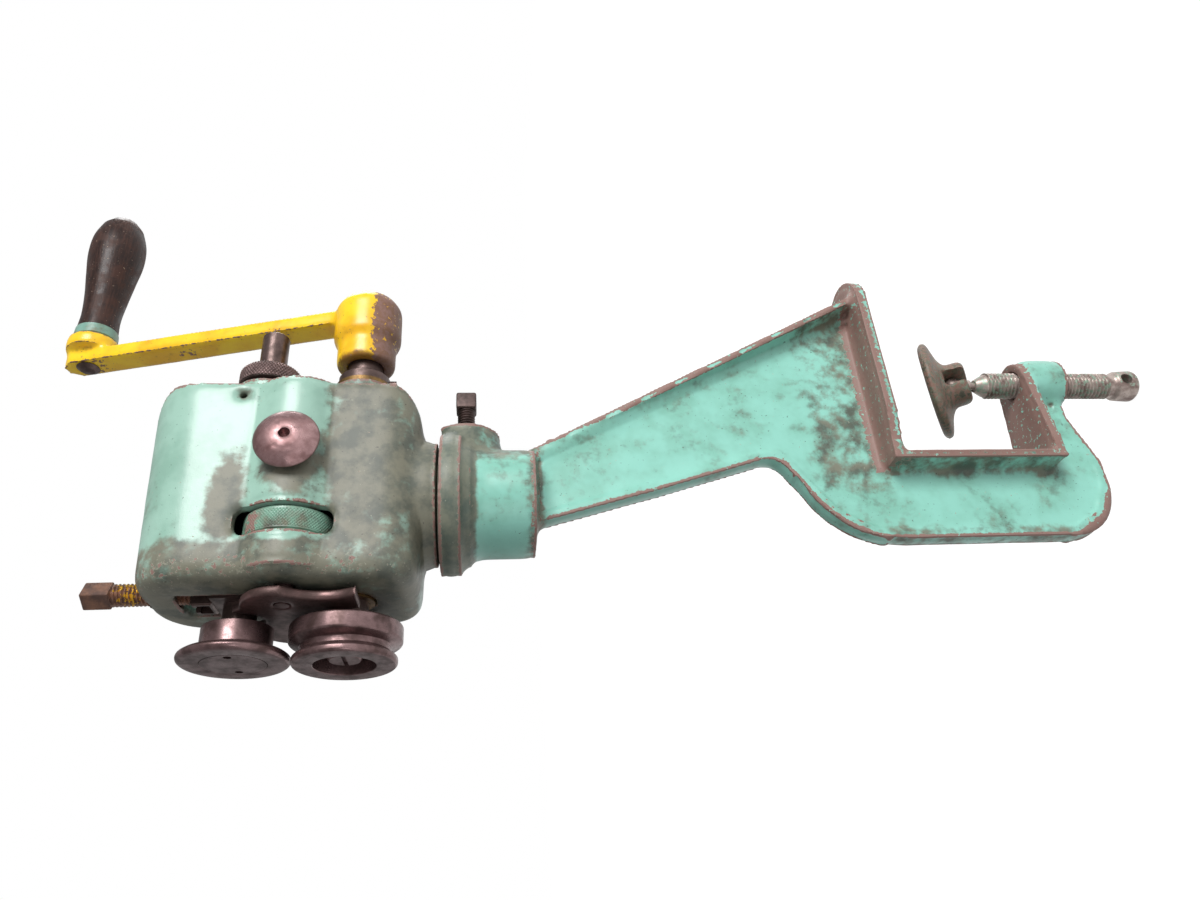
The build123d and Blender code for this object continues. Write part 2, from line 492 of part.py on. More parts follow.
with BuildPart() as head_housing:
    # outside: lofted from front to rear, with the boss of the gauge's stem and wheel blended into its side
    loft([head_outline(FRONT_Y, HEAD_TOP_Z - HEAD_FRONT_DROP), head_outline(REAR_Y, HEAD_TOP_Z)])
    with BuildSketch(across(FRONT_Y)) as gauge_boss:
        with Locations((STEM_X, STEM_Z)):
            Circle(GAUGE_BOSS_RADIUS)
        with Locations((HEAD_HALF_WIDTH / 2, STEM_Z)):
            Rectangle(HEAD_HALF_WIDTH, 2 * (GAUGE_BOSS_RADIUS + GAUGE_BOSS_BLEND))
        fillet(gauge_boss.vertices().filter_by(
            lambda v: v.X > HEAD_HALF_WIDTH - 1 and abs(v.Y - STEM_Z) < GAUGE_BOSS_RADIUS), GAUGE_BOSS_BLEND)
    extrude(gauge_boss.sketch, amount=-HEAD_LENGTH)
    with BuildSketch(Plane.YZ) as side_view:
        with BuildLine():
            Polyline((FRONT_Y, HEAD_BOTTOM_Z), (REAR_Y, HEAD_BOTTOM_Z), (REAR_Y, HEAD_TOP_Z),
                     (FRONT_Y, HEAD_TOP_Z), close=True)
        make_face()
        fillet(side_view.vertices().group_by(Axis.X)[-1], HEAD_REAR_RADIUS)
    extrude(amount=STEM_X + GAUGE_BOSS_RADIUS + 1, both=True, mode=Mode.INTERSECT)
    fillet(head_housing.faces().sort_by(Axis.Y)[0].edges(), HEAD_EDGE_RADIUS)
    # bosses of the two shafts on the rear wall
    rod(REAR_BOSS_RADIUS, CAVITY_REAR, BOSS_REAR, z=LOWER_Z)
    rod(REAR_BOSS_RADIUS, CAVITY_REAR, BOSS_REAR, z=UPPER_Z)
    # neck and tenon that turn in the standard
    post(NECK_RADIUS, HEAD_BOTTOM_Z + 8, COLLAR_TOP_Z + SEAT_GAP, y=SWIVEL_Y)
    post(TENON_RADIUS, COLLAR_TOP_Z + SEAT_GAP, COLLAR_TOP_Z - TENON_LENGTH, y=SWIVEL_Y)
    # cavity between the front and rear walls, with the stem's guide left standing in it
    with BuildSketch(across(CAVITY_FRONT)):
        with Locations((0, (cavity_bottom + cavity_top) / 2)):
            RectangleRounded(2 * cavity_half, cavity_top - cavity_bottom, HEAD_TOP_RADIUS - HEAD_WALL)
    extrude(amount=CAVITY_FRONT - CAVITY_REAR, mode=Mode.SUBTRACT)
    rod(STEM_GUIDE_RADIUS, CAVITY_FRONT, guide_rear, x=STEM_X, z=STEM_Z)
    with BuildSketch(across(CAVITY_FRONT)):
        with Locations((cavity_half, STEM_Z)):
            Rectangle(2 * (cavity_half - STEM_X), 2 * STEM_GUIDE_RADIUS)
    extrude(amount=CAVITY_FRONT - guide_rear)
    # window under the side cover
    with BuildSketch(Plane.YZ.offset(-HEAD_HALF_WIDTH - 1)):
        with Locations(cover_centre):
            RectangleRounded(COVER_LENGTH - 2 * COVER_LAP, COVER_HEIGHT - 2 * COVER_LAP, 6)
    extrude(amount=HEAD_WALL + 2, mode=Mode.SUBTRACT)
    # slot of the sliding block and the thread of the pressure screw above it
    with BuildSketch(across(FRONT_Y - 1)):
        with Locations((0, (slot_bottom + SLOT_TOP_Z) / 2)):
            Rectangle(2 * SLOT_HALF_WIDTH, SLOT_TOP_Z - slot_bottom)
    extrude(amount=-FRONT_WALL - 2, mode=Mode.SUBTRACT)
    post(PRESSURE_SCREW_RADIUS + RUNNING_CLEARANCE, SLOT_TOP_Z - 1, HEAD_TOP_Z + 1, y=SCREW_Y,
         mode=Mode.SUBTRACT)
    # bores of the bushes, the pivot bush, the stem and the lock knob
    rod(LOWER_SHAFT_RADIUS + BUSH_WALL, FRONT_Y - 1, CAVITY_FRONT + 1, z=LOWER_Z, mode=Mode.SUBTRACT)
    rod(LOWER_SHAFT_RADIUS + BUSH_WALL, CAVITY_REAR - 1, BOSS_REAR + 1, z=LOWER_Z, mode=Mode.SUBTRACT)
    rod(PIVOT_SPHERE_RADIUS + RUNNING_CLEARANCE, CAVITY_REAR - 1, BOSS_REAR + 1, z=UPPER_Z,
        mode=Mode.SUBTRACT)
    rod(STEM_RADIUS + RUNNING_CLEARANCE, FRONT_Y - 1, guide_rear + 1, x=STEM_X, z=STEM_Z,
        mode=Mode.SUBTRACT)
    with BuildSketch(Plane.YZ.offset(STEM_X)):
        with Locations((KNOB_Y, STEM_Z)):
            Circle(KNOB_SHANK_RADIUS + RUNNING_CLEARANCE)
    extrude(amount=GAUGE_BOSS_RADIUS + 2, mode=Mode.SUBTRACT)
    # slot of the gauge's wheel
    with BuildSketch(across(WHEEL_Y + WHEEL_WIDTH / 2 + FREE_CLEARANCE)):
        with Locations((STEM_X + GAUGE_BOSS_RADIUS / 2 + 1, STEM_Z)):
            Rectangle(GAUGE_BOSS_RADIUS + 2, 2 * wheel_slot)
        with Locations((STEM_X, STEM_Z)):
            Circle(wheel_slot)
    extrude(amount=WHEEL_WIDTH + 2 * FREE_CLEARANCE, mode=Mode.SUBTRACT)
    # oil hole of the upper shaft's rear bearing
    with BuildSketch(Plane.YZ.offset(PIVOT_SPHERE_RADIUS - 2)):
        with Locations((PIVOT_Y - OIL_HOLE_SETBACK, UPPER_Z + OIL_HOLE_SETBACK)):
            Circle(OIL_HOLE_RADIUS)
    extrude(amount=HEAD_HALF_WIDTH, mode=Mode.SUBTRACT)
head_housing.part.label = "head_housing"
export_step(head_housing.part, "parts/head_housing.step")

with BuildPart() as side_cover:
    with BuildSketch(Plane.YZ.offset(-HEAD_HALF_WIDTH)):
        with Locations(cover_centre):
            RectangleRounded(COVER_LENGTH, COVER_HEIGHT, COVER_LAP)
    extrude(amount=-COVER_THICKNESS)
    chamfer(side_cover.faces().sort_by(Axis.X)[0].edges(), 1)
    with BuildSketch(Plane.YZ.offset(-HEAD_HALF_WIDTH)):
        with Locations(cover_centre):
            with GridLocations(COVER_LENGTH - COVER_LAP, COVER_HEIGHT - COVER_LAP, 2, 2):
                Circle(COVER_SCREW_RADIUS)
    extrude(amount=-COVER_THICKNESS, mode=Mode.SUBTRACT)
side_cover.part.label = "side_cover"
export_step(side_cover.part, "parts/side_cover.step")

with BuildPart() as cover_screws:
    with BuildSketch(Plane.YZ.offset(-HEAD_HALF_WIDTH - COVER_THICKNESS)):
        with Locations(cover_centre):
            with GridLocations(COVER_LENGTH - COVER_LAP, COVER_HEIGHT - COVER_LAP, 2, 2):
                Circle(COVER_SCREW_HEAD_RADIUS)
    extrude(amount=-2.2)
    chamfer(cover_screws.faces().filter_by(Axis.X).group_by(Axis.X)[0].edges(), 0.7)
    with BuildSketch(Plane.YZ.offset(-HEAD_HALF_WIDTH - COVER_THICKNESS)):
        with Locations(cover_centre):
            with GridLocations(COVER_LENGTH - COVER_LAP, COVER_HEIGHT - COVER_LAP, 2, 2):
                Circle(COVER_SCREW_RADIUS)
    extrude(amount=COVER_THICKNESS)
cover_screws.part.label = "cover_screws"
export_step(cover_screws.part, "parts/cover_screws.step")

# ---------------------------------------------------------------- bushes
with BuildPart() as lower_front_bush:
    rod(LOWER_SHAFT_RADIUS + BUSH_WALL, FRONT_Y, CAVITY_FRONT, z=LOWER_Z)
    rod(LOWER_SHAFT_RADIUS + RUNNING_CLEARANCE, FRONT_Y, CAVITY_FRONT, z=LOWER_Z, mode=Mode.SUBTRACT)
lower_front_bush.part.label = "lower_front_bush"
export_step(lower_front_bush.part, "parts/lower_front_bush.step")

with BuildPart() as lower_rear_bush:
    rod(LOWER_SHAFT_RADIUS + BUSH_WALL, CAVITY_REAR, BOSS_REAR, z=LOWER_Z)
    rod(REAR_BOSS_RADIUS - 2, BOSS_REAR, BOSS_REAR + 2.5, z=LOWER_Z)
    rod(LOWER_SHAFT_RADIUS + RUNNING_CLEARANCE, CAVITY_REAR, BOSS_REAR + 2.5, z=LOWER_Z,
        mode=Mode.SUBTRACT)
lower_rear_bush.part.label = "lower_rear_bush"
export_step(lower_rear_bush.part, "parts/lower_rear_bush.step")

# the bush that the upper shaft tips on: a ball band in the rear wall and a threaded barrel behind it
barrel_rear = SHOULDER_Y - END_SHIFT - SEAT_GAP

with BuildPart() as pivot_bush:
    with BuildSketch(Plane.YZ):
        with BuildLine():
            band = ThreePointArc(
                (PIVOT_Y - PIVOT_BAND, UPPER_Z + sqrt(PIVOT_SPHERE_RADIUS ** 2 - PIVOT_BAND ** 2)),
                (PIVOT_Y, UPPER_Z + PIVOT_SPHERE_RADIUS),
                (PIVOT_Y + PIVOT_BAND, UPPER_Z + sqrt(PIVOT_SPHERE_RADIUS ** 2 - PIVOT_BAND ** 2)))
            Polyline(band @ 1, (PIVOT_Y + PIVOT_BAND, UPPER_Z + PIVOT_BARREL_RADIUS),
                     (barrel_rear, UPPER_Z + PIVOT_BARREL_RADIUS),
                     (barrel_rear, UPPER_Z + UPPER_SHAFT_RADIUS + RUNNING_CLEARANCE),
                     (PIVOT_Y - PIVOT_BAND, UPPER_Z + UPPER_SHAFT_RADIUS + RUNNING_CLEARANCE), band @ 0)
        make_face()
    revolve(axis=Axis((0, 0, UPPER_Z), (0, 1, 0)))
pivot_bush.part.label = "pivot_bush"
export_step(pivot_bush.part, "parts/pivot_bush.step")

# ---------------------------------------------------------------- sliding block of the upper shaft
block_front = FRONT_Y
block_half = SLOT_HALF_WIDTH - FREE_CLEARANCE
button_bottom = CAP_TOP_Z - CAP_LID - 0.5 - SCREW_BUTTON_LENGTH
pocket_bottom = button_bottom - SEAT_GAP - THRUST_PAD_THICKNESS - 0.6

with BuildPart() as upper_block:
    with BuildSketch(across(block_front)):
        with Locations((0, UPPER_Z + (BLOCK_HEIGHT_ABOVE - BLOCK_HEIGHT_BELOW) / 2)):
            Rectangle(2 * block_half, BLOCK_HEIGHT_ABOVE + BLOCK_HEIGHT_BELOW)
    extrude(amount=-BLOCK_DEPTH)
    with BuildSketch(across(block_front - 1)):
        with Locations((0, UPPER_Z + BLOCK_HEIGHT_ABOVE + CAP_HEIGHT / 2)):
            Rectangle(2 * CAP_HALF_WIDTH, CAP_HEIGHT)
    extrude(amount=-CAP_DEPTH)
    chamfer(upper_block.faces().sort_by(Axis.Y)[0].edges(), 0.8)
    rod(UPPER_SHAFT_RADIUS + RUNNING_CLEARANCE, block_front, block_front + BLOCK_DEPTH, z=UPPER_Z,
        mode=Mode.SUBTRACT)
    # pocket of the screw's button, open to the front, with a narrower way for its neck above
    with BuildSketch(Plane.XY.offset(pocket_bottom)):
        with Locations((0, SCREW_Y)):
            Circle(SCREW_BUTTON_RADIUS + 1.2)
        with Locations((0, SCREW_Y - CAP_DEPTH / 2)):
            Rectangle(2 * SCREW_BUTTON_RADIUS + 1, CAP_DEPTH)
    extrude(amount=CAP_TOP_Z - CAP_LID - pocket_bottom, mode=Mode.SUBTRACT)
    with BuildSketch(Plane.XY.offset(pocket_bottom)):
        with Locations((0, SCREW_Y)):
            Circle(SCREW_NECK_RADIUS + 1.2)
        with Locations((0, SCREW_Y - CAP_DEPTH / 2)):
            Rectangle(2 * SCREW_NECK_RADIUS + 1, CAP_DEPTH)
    extrude(amount=CAP_TOP_Z + 1 - pocket_bottom, mode=Mode.SUBTRACT)
upper_block.part.label = "upper_block"
export_step(upper_block.part, "parts/upper_block.step")

# ---------------------------------------------------------------- pressure screw
with BuildPart() as thrust_pad:
    post(SCREW_BUTTON_RADIUS, button_bottom - SEAT_GAP, button_bottom - SEAT_GAP - THRUST_PAD_THICKNESS,
         y=SCREW_Y)
thrust_pad.part.label = "thrust_pad"
export_step(thrust_pad.part, "parts/thrust_pad.step")

with BuildPart() as pressure_screw:
    post(SCREW_BUTTON_RADIUS, button_bottom, button_bottom + SCREW_BUTTON_LENGTH, y=SCREW_Y)
    post(SCREW_NECK_RADIUS, button_bottom + SCREW_BUTTON_LENGTH, CAP_TOP_Z + 1, y=SCREW_Y)
    post(PRESSURE_SCREW_RADIUS, CAP_TOP_Z + 1, PRESSURE_SCREW_TOP - PRESSURE_SQUARE_LENGTH, y=SCREW_Y)
    with BuildSketch(Plane(origin=(0, SCREW_Y, PRESSURE_SCREW_TOP - PRESSURE_SQUARE_LENGTH))):
        Rectangle(PRESSURE_SQUARE, PRESSURE_SQUARE, rotation=PRESSURE_SQUARE_TURN)
    extrude(amount=PRESSURE_SQUARE_LENGTH)
    chamfer(pressure_screw.faces().sort_by(Axis.Z)[-1].edges(), 1)
pressure_screw.part.label = "pressure_screw"
export_step(pressure_screw.part, "parts/pressure_screw.step")


# ---------------------------------------------------------------- gears
def involute_angle(pressure):
    """The involute function, radians in and out."""
    return tan(pressure) - pressure


def gear(z, bore, first_tooth):
    """A spur gear on the shaft at height z, its first tooth at an angle from +X towards +Z."""
    pitch_radius = GEAR_MODULE * GEAR_TEETH / 2
    base_radius = pitch_radius * cos(radians(GEAR_PRESSURE_ANGLE))
    tip_radius = pitch_radius + GEAR_MODULE
    root_radius = pitch_radius - 1.25 * GEAR_MODULE
    half_at_pitch = (pi * GEAR_MODULE - GEAR_BACKLASH) / (4 * pitch_radius)
    half_at_base = half_at_pitch + involute_angle(radians(GEAR_PRESSURE_ANGLE))
    flank = [(root_radius - 0.5, half_at_base), (base_radius, half_at_base)]
    for step in (0.3, 0.65, 1.0):
        radius = base_radius + step * (tip_radius - base_radius)
        flank.append((radius, half_at_base - involute_angle(acos(base_radius / radius))))
    right = [(radius * cos(turn), radius * sin(turn)) for radius, turn in flank]
    left = [(x, -y) for x, y in reversed(right)]
    with BuildPart() as blank:
        with BuildSketch(across(GEAR_FRONT + GEAR_WIDTH, 0, z)):
            Circle(root_radius)
            with PolarLocations(0, GEAR_TEETH, start_angle=first_tooth):
                with BuildSketch(mode=Mode.PRIVATE) as tooth:
                    with BuildLine():
                        Polyline(*right, *left, close=True)
                    make_face()
                add(tooth.sketch)
            Circle(bore, mode=Mode.SUBTRACT)
            with Locations((0, bore)):
                Rectangle(GEAR_KEY, GEAR_KEY, mode=Mode.SUBTRACT)
        extrude(amount=GEAR_WIDTH)
    return blank.part


def gear_key(z, shaft_radius):
    """The square key that half sits in the shaft and half in its gear."""
    with BuildPart() as key:
        with BuildSketch(across(GEAR_FRONT + GEAR_WIDTH, 0, z + shaft_radius)):
            Rectangle(GEAR_KEY, GEAR_KEY)
        extrude(amount=GEAR_WIDTH)
    return key.part


lower_gear = gear(LOWER_Z, LOWER_SHAFT_RADIUS, 90)
lower_gear.label = "lower_gear"
export_step(lower_gear, "parts/lower_gear.step")
upper_gear = gear(UPPER_Z, UPPER_SHAFT_RADIUS, 270 + 180 / GEAR_TEETH)
upper_gear.label = "upper_gear"
export_step(upper_gear, "parts/upper_gear.step")
lower_gear_key = gear_key(LOWER_Z, LOWER_SHAFT_RADIUS)
lower_gear_key.label = "lower_gear_key"
export_step(lower_gear_key, "parts/lower_gear_key.step")
upper_gear_key = gear_key(UPPER_Z, UPPER_SHAFT_RADIUS)
upper_gear_key.label = "upper_gear_key"
export_step(upper_gear_key, "parts/upper_gear_key.step")

# ---------------------------------------------------------------- shafts
lower_floor = LOWER_ROLL_FRONT + LOWER_RECESS_DEPTH
upper_floor = UPPER_ROLL_FRONT + ROLL_NUT_THICKNESS

with BuildPart() as lower_shaft:
    turned_along_y([(LOWER_SHAFT_REAR, 0), (LOWER_SHAFT_REAR, LOWER_SHAFT_RADIUS - 1),
                    (LOWER_SHAFT_REAR - 1, LOWER_SHAFT_RADIUS), (ROLL_HUB_BACK, LOWER_SHAFT_RADIUS),
                    (ROLL_HUB_BACK, ROLL_SEAT_RADIUS), (lower_floor + 0.5, ROLL_SEAT_RADIUS),
                    (lower_floor + 0.5, ROLL_SCREW_RADIUS), (lower_floor + 14, ROLL_SCREW_RADIUS),
                    (lower_floor + 14, 0)], LOWER_Z)
    with BuildSketch(across(GEAR_FRONT + GEAR_WIDTH, 0, LOWER_Z + LOWER_SHAFT_RADIUS)):
        Rectangle(GEAR_KEY, GEAR_KEY)
    extrude(amount=GEAR_WIDTH, mode=Mode.SUBTRACT)
lower_shaft.part.label = "lower_shaft"
export_step(lower_shaft.part, "parts/lower_shaft.step")

with BuildPart() as upper_shaft:
    turned_along_y([(UPPER_ROD_REAR, 0), (UPPER_ROD_REAR, UPPER_ROD_RADIUS - 1),
                    (UPPER_ROD_REAR - 1, UPPER_ROD_RADIUS), (SHOULDER_Y, UPPER_ROD_RADIUS),
                    (SHOULDER_Y, UPPER_SHAFT_RADIUS), (ROLL_HUB_BACK, UPPER_SHAFT_RADIUS),
                    (ROLL_HUB_BACK, UPPER_SEAT_RADIUS), (upper_floor + 0.5, UPPER_SEAT_RADIUS),
                    (upper_floor + 0.5, ROLL_SCREW_RADIUS), (upper_floor + 12, ROLL_SCREW_RADIUS),
                    (upper_floor + 12, 0)], UPPER_Z)
    with BuildSketch(across(GEAR_FRONT + GEAR_WIDTH, 0, UPPER_Z + UPPER_SHAFT_RADIUS)):
        Rectangle(GEAR_KEY, GEAR_KEY)
    extrude(amount=GEAR_WIDTH, mode=Mode.SUBTRACT)
upper_shaft.part.label = "upper_shaft"
export_step(upper_shaft.part, "parts/upper_shaft.step")

with BuildPart() as shaft_collar:
    collar_front = BOSS_REAR + 2.5 + SEAT_GAP
    rod(SHAFT_COLLAR_RADIUS, collar_front, collar_front + SHAFT_COLLAR_WIDTH, z=LOWER_Z)
    rod(LOWER_SHAFT_RADIUS, collar_front, collar_front + SHAFT_COLLAR_WIDTH, z=LOWER_Z,
        mode=Mode.SUBTRACT)
    chamfer(shaft_collar.edges().filter_by(GeomType.CIRCLE).group_by(SortBy.RADIUS)[-1], 0.8)
    post(COLLAR_SCREW_RADIUS, LOWER_Z - LOWER_SHAFT_RADIUS, LOWER_Z - SHAFT_COLLAR_RADIUS - 1,
         y=collar_front + SHAFT_COLLAR_WIDTH / 2, mode=Mode.SUBTRACT)
shaft_collar.part.label = "shaft_collar"
export_step(shaft_collar.part, "parts/shaft_collar.step")

with BuildPart() as collar_screw:
    post(COLLAR_SCREW_RADIUS, LOWER_Z - LOWER_SHAFT_RADIUS, LOWER_Z - SHAFT_COLLAR_RADIUS - 3.5,
         y=collar_front + SHAFT_COLLAR_WIDTH / 2)
collar_screw.part.label = "collar_screw"
export_step(collar_screw.part, "parts/collar_screw.step")

with BuildPart() as thrust_washer:
    rod(PIVOT_BARREL_RADIUS - 1, SHOULDER_Y + THRUST_GAP, SHOULDER_Y + 1.4, z=UPPER_Z)
    rod(UPPER_ROD_RADIUS + RUNNING_CLEARANCE, SHOULDER_Y, SHOULDER_Y + 1.4, z=UPPER_Z,
        mode=Mode.SUBTRACT)
thrust_washer.part.label = "thrust_washer"
export_step(thrust_washer.part, "parts/thrust_washer.step")

with BuildPart() as alignment_nut:
    nut_wall = SHOULDER_Y + 1.5
    rod(NUT_RADIUS, NUT_REAR - NUT_LENGTH, NUT_REAR, z=UPPER_Z)
    chamfer(alignment_nut.edges().filter_by(GeomType.CIRCLE), 1.2)
    rod(PIVOT_BARREL_RADIUS + RUNNING_CLEARANCE, NUT_REAR - NUT_LENGTH, nut_wall, z=UPPER_Z,
        mode=Mode.SUBTRACT)
    rod(UPPER_ROD_RADIUS + RUNNING_CLEARANCE, nut_wall, NUT_REAR, z=UPPER_Z, mode=Mode.SUBTRACT)
alignment_nut.part.label = "alignment_nut"
export_step(alignment_nut.part, "parts/alignment_nut.step")

# ---------------------------------------------------------------- rolls
with BuildPart() as lower_roll:
    turned_along_y([
        (ROLL_HUB_BACK, ROLL_SEAT_RADIUS), (ROLL_HUB_BACK, LOWER_HUB_RADIUS),
        (RING_BACK, LOWER_HUB_RADIUS), (RING_BACK, RING_RADIUS - 0.8),
        (RING_BACK - 0.8, RING_RADIUS), (RING_FRONT + 0.6, RING_RADIUS),
        (RING_FRONT, RING_RADIUS - 0.6), (RING_FRONT - 2, GROOVE_RADIUS),
        (LOWER_ROLL_FRONT + LOWER_FLANGE_WIDTH + 1.5, GROOVE_RADIUS),
        (LOWER_ROLL_FRONT + LOWER_FLANGE_WIDTH, LOWER_FLANGE_RADIUS - 0.8),
        (LOWER_ROLL_FRONT + LOWER_FLANGE_WIDTH - 0.8, LOWER_FLANGE_RADIUS),
        (LOWER_ROLL_FRONT + 0.9, LOWER_FLANGE_RADIUS), (LOWER_ROLL_FRONT, LOWER_FLANGE_RADIUS - 0.9),
        (LOWER_ROLL_FRONT, LOWER_RECESS_RADIUS), (lower_floor, LOWER_RECESS_RADIUS),
        (lower_floor, ROLL_SEAT_RADIUS)], LOWER_Z)
lower_roll.part.label = "lower_roll"
export_step(lower_roll.part, "parts/lower_roll.step")

disc_back = UPPER_ROLL_FRONT + UPPER_DISC_WIDTH

with BuildPart() as upper_roll:
    turned_along_y([
        (ROLL_HUB_BACK, UPPER_SEAT_RADIUS), (ROLL_HUB_BACK, UPPER_HUB_RADIUS - 0.8),
        (ROLL_HUB_BACK - 0.8, UPPER_HUB_RADIUS), (disc_back + 1.5, UPPER_HUB_RADIUS),
        (disc_back, UPPER_HUB_RADIUS + 2), (disc_back - 1, UPPER_DISC_RADIUS - 1.6),
        (disc_back - 2, UPPER_DISC_RADIUS - 0.4), (disc_back - 3, UPPER_DISC_RADIUS),
        (UPPER_ROLL_FRONT + 1.2, UPPER_DISC_RADIUS - 0.3), (UPPER_ROLL_FRONT + 0.3, UPPER_DISC_RADIUS - 1.4),
        (UPPER_ROLL_FRONT, UPPER_DISC_RADIUS - 3), (UPPER_ROLL_FRONT, ROLL_NUT_RADIUS),
        (upper_floor, ROLL_NUT_RADIUS), (upper_floor, UPPER_SEAT_RADIUS)], UPPER_Z)
upper_roll.part.label = "upper_roll"
export_step(upper_roll.part, "parts/upper_roll.step")

with BuildPart() as lower_roll_screw:
    rod(LOWER_RECESS_RADIUS - 2, lower_floor, lower_floor - 1.5, z=LOWER_Z)
    rod(ROLL_SCREW_HEAD_RADIUS, lower_floor - 1.5, lower_floor - 1.5 - ROLL_SCREW_HEAD, z=LOWER_Z)
    chamfer(lower_roll_screw.faces().sort_by(Axis.Y)[0].edges(), 0.8)
    rod(ROLL_SCREW_RADIUS, lower_floor, lower_floor + 14, z=LOWER_Z)
    with BuildSketch(across(lower_floor - 1.5 - ROLL_SCREW_HEAD, 0, LOWER_Z)):
        Rectangle(2 * ROLL_SCREW_HEAD_RADIUS + 1, 2)
    extrude(amount=-2, mode=Mode.SUBTRACT)
lower_roll_screw.part.label = "lower_roll_screw"
export_step(lower_roll_screw.part, "parts/lower_roll_screw.step")

with BuildPart() as upper_roll_nut:
    rod(ROLL_NUT_RADIUS, upper_floor, UPPER_ROLL_FRONT, z=UPPER_Z)
    rod(ROLL_SCREW_RADIUS, upper_floor, upper_floor + 12, z=UPPER_Z)
    with BuildSketch(across(UPPER_ROLL_FRONT, 0, UPPER_Z)):
        with PolarLocations(ROLL_NUT_HOLE_SPACING / 2, 2):
            Circle(1.9)
    extrude(amount=-3, mode=Mode.SUBTRACT)
upper_roll_nut.part.label = "upper_roll_nut"
export_step(upper_roll_nut.part, "parts/upper_roll_nut.step")

# ---------------------------------------------------------------- gauge
plate_back = GAUGE_PLATE_FRONT + GAUGE_PLATE_THICKNESS

with BuildPart() as gauge_plate:
    with BuildSketch(across(plate_back, 0, STEM_Z)):
        with Locations((GAUGE_LOBE_X, 0), (-GAUGE_LOBE_X, 0)):
            Circle(GAUGE_LOBE_RADIUS)
        with BuildLine():
            Polyline((-GAUGE_FOOT_HALF_WIDTH, -GAUGE_FOOT_DROP), (GAUGE_FOOT_HALF_WIDTH, -GAUGE_FOOT_DROP),
                     (GAUGE_LOBE_X + GAUGE_LOBE_RADIUS, 0), (GAUGE_TOP_HALF_WIDTH, GAUGE_TOP_RISE),
                     (-GAUGE_TOP_HALF_WIDTH, GAUGE_TOP_RISE), (-GAUGE_LOBE_X - GAUGE_LOBE_RADIUS, 0),
                     close=True)
        make_face()
        with Locations((GAUGE_SCALLOP_X, -GAUGE_SCALLOP_DROP)):
            Circle(GAUGE_SCALLOP_RADIUS, mode=Mode.SUBTRACT)
        # open notches round the two shafts
        for height, radius, way in ((UPPER_Z - STEM_Z, UPPER_SHAFT_RADIUS + GAUGE_SHAFT_ROOM, 1),
                                    (LOWER_Z - STEM_Z, LOWER_SHAFT_RADIUS + GAUGE_SHAFT_ROOM, -1)):
            with Locations((0, height)):
                Circle(radius, mode=Mode.SUBTRACT)
            with Locations((0, height + way * SHAFT_SPACING / 2)):
                Rectangle(2 * radius, SHAFT_SPACING, mode=Mode.SUBTRACT)
        with Locations((STEM_X, 0)):
            Circle(STEM_RADIUS - 1, mode=Mode.SUBTRACT)
    extrude(amount=GAUGE_PLATE_THICKNESS)
gauge_plate.part.label = "gauge_plate"
export_step(gauge_plate.part, "parts/gauge_plate.step")

with BuildPart() as gauge_stem:
    rod(STEM_RADIUS, STEM_REAR, plate_back, x=STEM_X, z=STEM_Z)
    rod(STEM_RADIUS - 1, plate_back, GAUGE_PLATE_FRONT, x=STEM_X, z=STEM_Z)
gauge_stem.part.label = "gauge_stem"
export_step(gauge_stem.part, "parts/gauge_stem.step")

with BuildPart() as gauge_wheel:
    rod(WHEEL_RADIUS, WHEEL_Y + WHEEL_WIDTH / 2, WHEEL_Y - WHEEL_WIDTH / 2, x=STEM_X, z=STEM_Z)
    chamfer(gauge_wheel.edges().filter_by(GeomType.CIRCLE), 1)
    rod(STEM_RADIUS + RUNNING_CLEARANCE, WHEEL_Y + WHEEL_WIDTH / 2, WHEEL_Y - WHEEL_WIDTH / 2,
        x=STEM_X, z=STEM_Z, mode=Mode.SUBTRACT)
gauge_wheel.part.label = "gauge_wheel"
export_step(gauge_wheel.part, "parts/gauge_wheel.step")

boss_face = STEM_X + GAUGE_BOSS_RADIUS
shoe_start = STEM_X + STEM_RADIUS + SEAT_GAP

with BuildPart() as lock_shoe:
    with BuildSketch(Plane.YZ.offset(shoe_start)):
        with Locations((KNOB_Y, STEM_Z)):
            Circle(KNOB_SHANK_RADIUS)
    extrude(amount=SHOE_LENGTH)
lock_shoe.part.label = "lock_shoe"
export_step(lock_shoe.part, "parts/lock_shoe.step")

knob_base = boss_face + KNOB_GAP

with BuildPart() as gauge_lock_knob:
    with BuildSketch(Plane.XY.offset(STEM_Z)):
        with BuildLine():
            Polyline((shoe_start + SHOE_LENGTH + THRUST_GAP, KNOB_Y),
                     (shoe_start + SHOE_LENGTH + THRUST_GAP, KNOB_Y + KNOB_SHANK_RADIUS),
                     (knob_base, KNOB_Y + KNOB_SHANK_RADIUS), (knob_base, KNOB_Y + KNOB_RADIUS - KNOB_RIM),
                     (knob_base + KNOB_RIM, KNOB_Y + KNOB_RADIUS))
            dome = ThreePointArc((knob_base + KNOB_RIM, KNOB_Y + KNOB_RADIUS),
                                 (knob_base + KNOB_HEIGHT - KNOB_RIM / 2, KNOB_Y + KNOB_RADIUS * 0.55),
                                 (knob_base + KNOB_HEIGHT, KNOB_Y + KNOB_HOLE_RADIUS))
            Polyline(dome @ 1, (knob_base + KNOB_HEIGHT - KNOB_HOLE_DEPTH, KNOB_Y + KNOB_HOLE_RADIUS),
                     (knob_base + KNOB_HEIGHT - KNOB_HOLE_DEPTH, KNOB_Y),
                     (shoe_start + SHOE_LENGTH + THRUST_GAP, KNOB_Y))
        make_face()
    revolve(axis=Axis((0, KNOB_Y, STEM_Z), (1, 0, 0)))
gauge_lock_knob.part.label = "gauge_lock_knob"
export_step(gauge_lock_knob.part, "parts/gauge_lock_knob.step")

